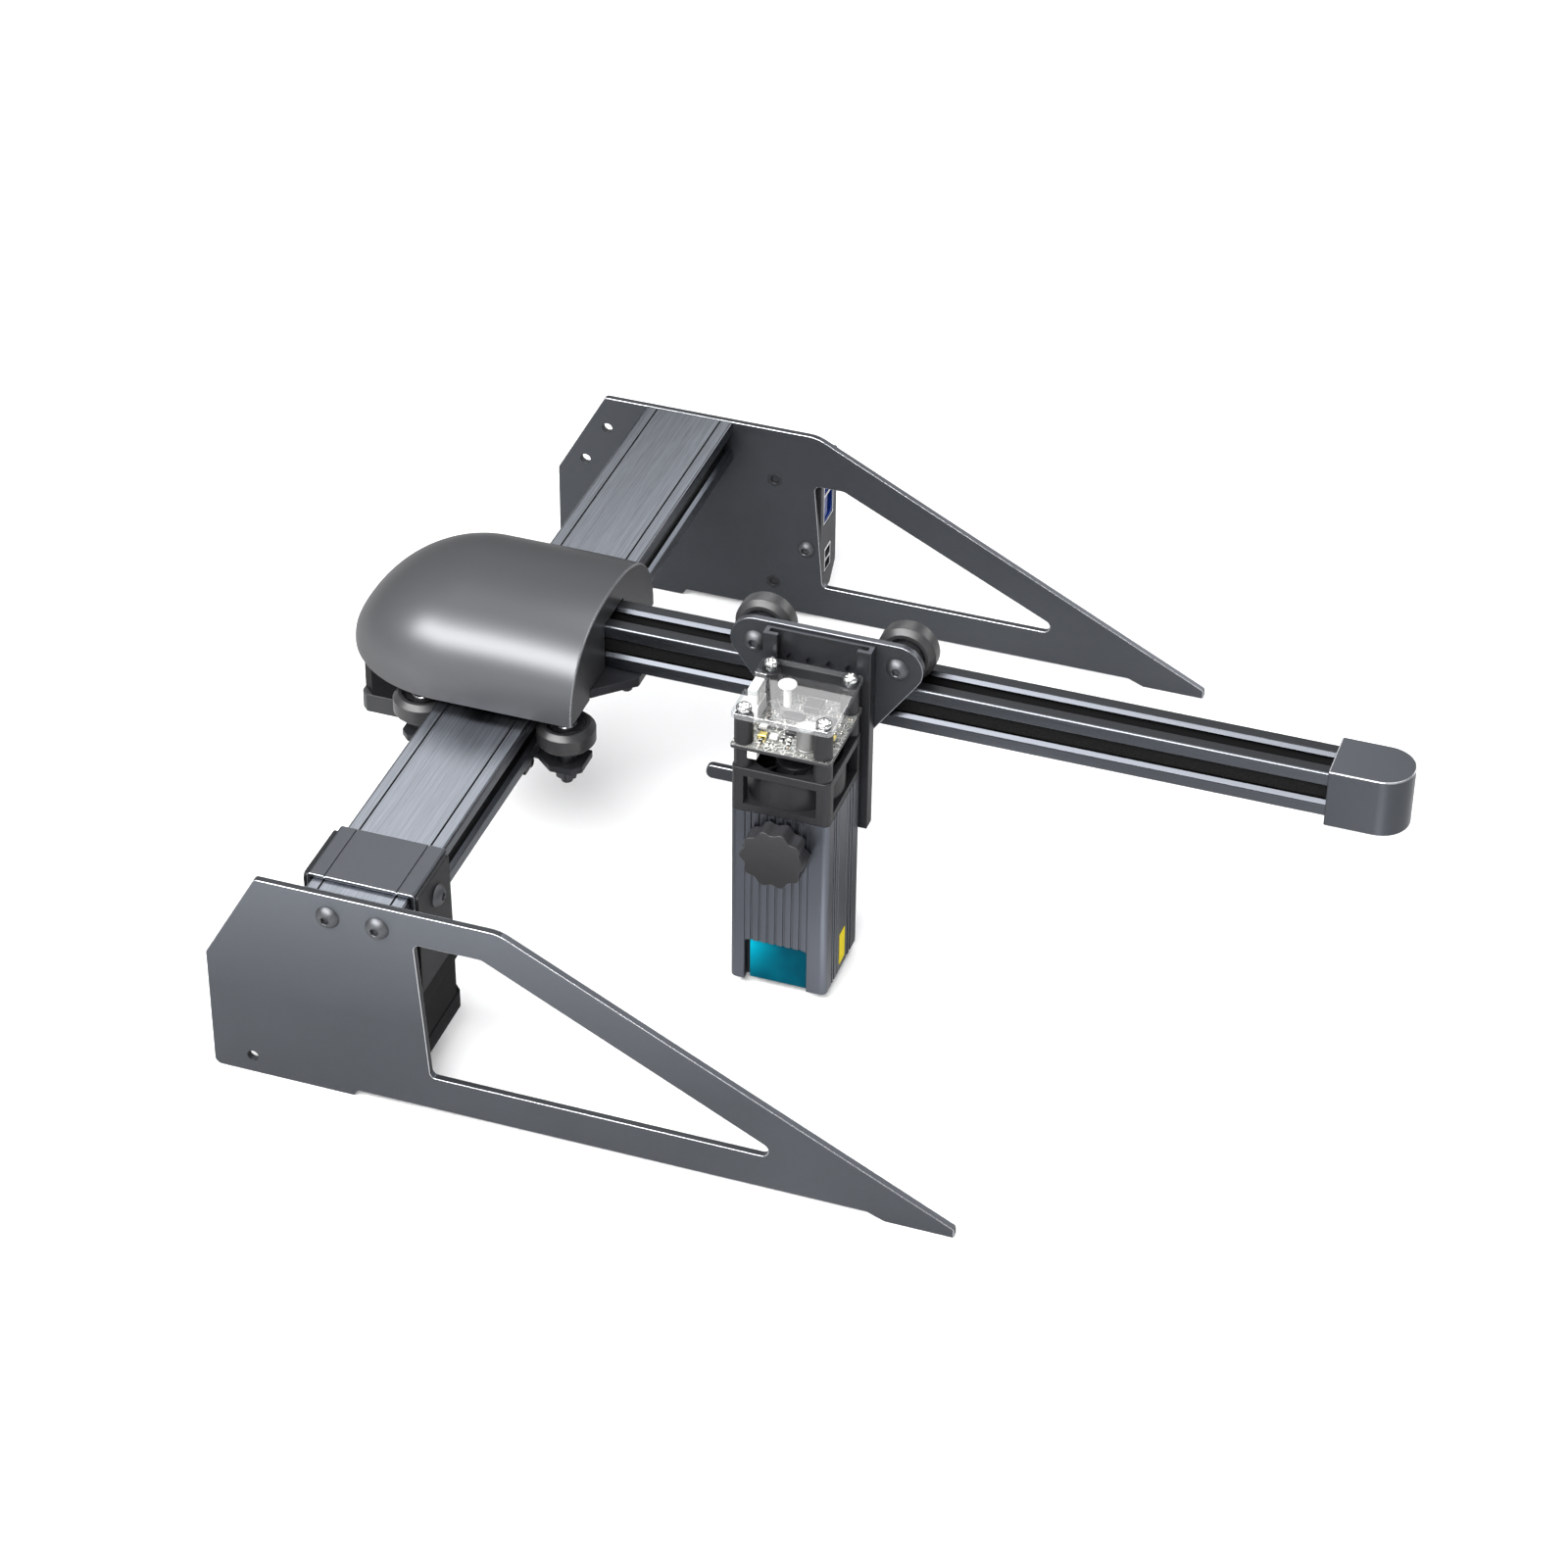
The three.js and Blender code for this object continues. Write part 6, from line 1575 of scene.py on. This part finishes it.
# ------------------------------------------------------------------ clear cover, side bar
left, right, near = MOD_X - BOARD_HALF, MOD_X + BOARD_HALF, MOD_Y - BOARD_HALF
sheet = [(left, near, 2), (right, near, 2), (right, MOD_Y1, 2), (left, MOD_Y1, 2),
         (left, 141.5, 0.5), (left + 5, 141.5, 0.5), (left + 5, 130, 0.5), (left, 130, 0.5)]
Mesh().prism(rounded(sheet, 6), SHEET_Z0, SHEET_Z1, "XY", POST_HOLES, bevel=0.15, steps=1,
             side=1, edge=1).build(
    "clear_cover_plate", [M_CLEAR, M_CLEAR_EDGE], "laser_module", "acrylic_cover",
    "clear_acrylic")
bar_end = MOD_X0 + 0.2
side_bar = [(107.5, 73, 2.6), (bar_end, 73), (bar_end, 79.25), (107.5, 79.25, 2.6)]
Mesh().prism(rounded(side_bar, 8), 146, 149, "XZ", bevel=0.4, steps=3, edge=1).build(
    "side_bar_rod", [M_SLEEVE, M_EDGE], "laser_module", "side_bar", "dark_metal")

# ------------------------------------------------------------------ floor
WORLD_STRENGTH = 0.53
FLOOR_BOUNCE = 0.52         # grey level the floor returns to the object
FLOOR_LIFT = 0.22           # glow added where the camera sees the floor
edit = bmesh.new()
bmesh.ops.create_grid(edit, x_segments=8, y_segments=8, size=4.0)
floor_data = bpy.data.meshes.new("floor")
edit.to_mesh(floor_data)
edit.free()
floor = link_object("floor", floor_data)
floor.location = (0, 0, -0.0002)


def floor_material():
    """White where seen directly; what it returns to the object is a separate, patchy light."""
    tree = new_material("floor_pale")
    cloud = tree.noise(freq=3.0)
    seen = tree.node("LightPath").outputs["Is Camera Ray"]
    pale = tree.mix(cloud, (0.80, 0.80, 0.80), (0.84, 0.84, 0.84))
    position = tree.split()

    def spot(at, size, amount):
        """A soft spot on the floor, in metres."""
        off = [tree.math("DIVIDE", tree.math("SUBTRACT", position[axis], at[axis]), size[axis])
               for axis in (0, 1)]
        square = tree.add(tree.times(off[0], off[0]), tree.times(off[1], off[1]))
        return tree.times(tree.math("EXPONENT", tree.times(square, -1.0)), amount)

    bounce = tree.add(spot(at=(0.022, 0.0), size=(0.055, 0.070), amount=-0.36), FLOOR_BOUNCE,
                      clamp=True)
    grey = tree.node("CombineColor", {0: bounce, 1: bounce, 2: bounce}).outputs[0]
    spots = [spot(at=(0.026, -0.136), size=(0.026, 0.050), amount=2.0),
             spot(at=(0.232, -0.166), size=(0.028, 0.050), amount=4.6),
             spot(at=(-0.24, -0.46), size=(0.28, 0.10), amount=1.25),
             spot(at=(0.262, 0.132), size=(0.06, 0.06), amount=0.5)]
    glow = spots.pop()
    while spots:
        glow = tree.add(spots.pop(), glow)
    hidden = tree.times(tree.math("SUBTRACT", 1.0, seen), glow)
    strength = tree.add(tree.times(seen, FLOOR_LIFT), hidden)
    diffuse = tree.node("BsdfDiffuse", {0: tree.mix(seen, grey, pale)}).outputs[0]
    emission = tree.node("Emission", {0: pale, 1: strength}).outputs[0]
    return tree.finish(tree.node("AddShader", {0: diffuse, 1: emission}).outputs[0])


floor_data.materials.append(floor_material())

# ------------------------------------------------------------------ world and lights
SCENE.world = bpy.data.worlds.new("studio")
sky = Shader(SCENE.world, "OutputWorld", "Generated")
fade = sky.node("ValToRGB", {0: sky.split()[2]})
level, high = fade.color_ramp.elements
level.position, level.color = 0.0, (0.75, 0.76, 0.78, 1)
high.position, high.color = 0.9, (0.50, 0.51, 0.53, 1)
sky.finish(sky.node("Background", {0: fade.outputs[0], 1: WORLD_STRENGTH}).outputs[0])


def softbox(name, direction, distance, size, power):
    """Area light at a distance in a direction from a point above the origin, facing it."""
    aim = Vector(direction).normalized()
    light = bpy.data.lights.new(name, "AREA")
    light.shape = "RECTANGLE"
    light.size, light.size_y = size
    light.energy = power
    obj = bpy.data.objects.new(name, light)
    obj.location = Vector((0, 0, 0.06)) + aim * distance
    obj.rotation_euler = (-aim).to_track_quat("-Z", "Y").to_euler()
    SCENE.collection.objects.link(obj)
    return obj


softbox("key", direction=(-0.280, -0.621, 0.732), distance=1.6, size=(2.0, 0.60), power=62)
softbox("key_halo", direction=(-0.22, -0.45, 0.86), distance=1.7, size=(1.8, 0.6), power=5)
softbox("low_front", direction=(-0.52, -0.83, 0.13), distance=2.2, size=(1.8, 0.26), power=2.5)
softbox("overhead", direction=(0.15, 0.25, 1.0), distance=1.7, size=(1.6, 1.2), power=14)
rear = softbox("rear", direction=(-0.58, 1.37, 1.34), distance=2.0, size=(1.2, 0.75), power=8.5)
# the rounded cover faces a dark part of the room: the rear and rim lights skip it
skips = bpy.data.collections.new("rear_light_skips")
skips.objects.link(cover)
rear.light_linking.receiver_collection = skips
skips.collection_objects[0].light_linking.link_state = "EXCLUDE"
rim = softbox("rim", direction=(0.6, 0.85, 0.45), distance=2.0, size=(1.0, 0.6), power=8)
rim.light_linking.receiver_collection = skips
softbox("low_right", direction=(0.75, -0.65, 0.12), distance=2.0, size=(0.5, 0.5), power=3)

# ------------------------------------------------------------------ camera
azimuth, elevation, roll = radians(18.53), radians(36.38), radians(0.76)
back = Vector((sin(azimuth) * cos(elevation), -cos(azimuth) * cos(elevation), sin(elevation)))
level_right = Vector((cos(azimuth), sin(azimuth), 0))
level_up = back.cross(level_right)
right = level_right * cos(roll) + level_up * sin(roll)
up = level_up * cos(roll) - level_right * sin(roll)
lens_data = bpy.data.cameras.new("camera")
lens_data.lens = 98.6
lens_data.sensor_width = 36
lens_data.clip_start = 0.01
camera = bpy.data.objects.new("camera", lens_data)
pose = Matrix((right, up, back)).transposed().to_4x4()
pose.translation = Vector((0.40365, -1.330875, 1.0743))
camera.matrix_world = pose
SCENE.collection.objects.link(camera)
SCENE.camera = camera
SCENE.view_settings.view_transform = "Standard"
SCENE.view_settings.look = "None"
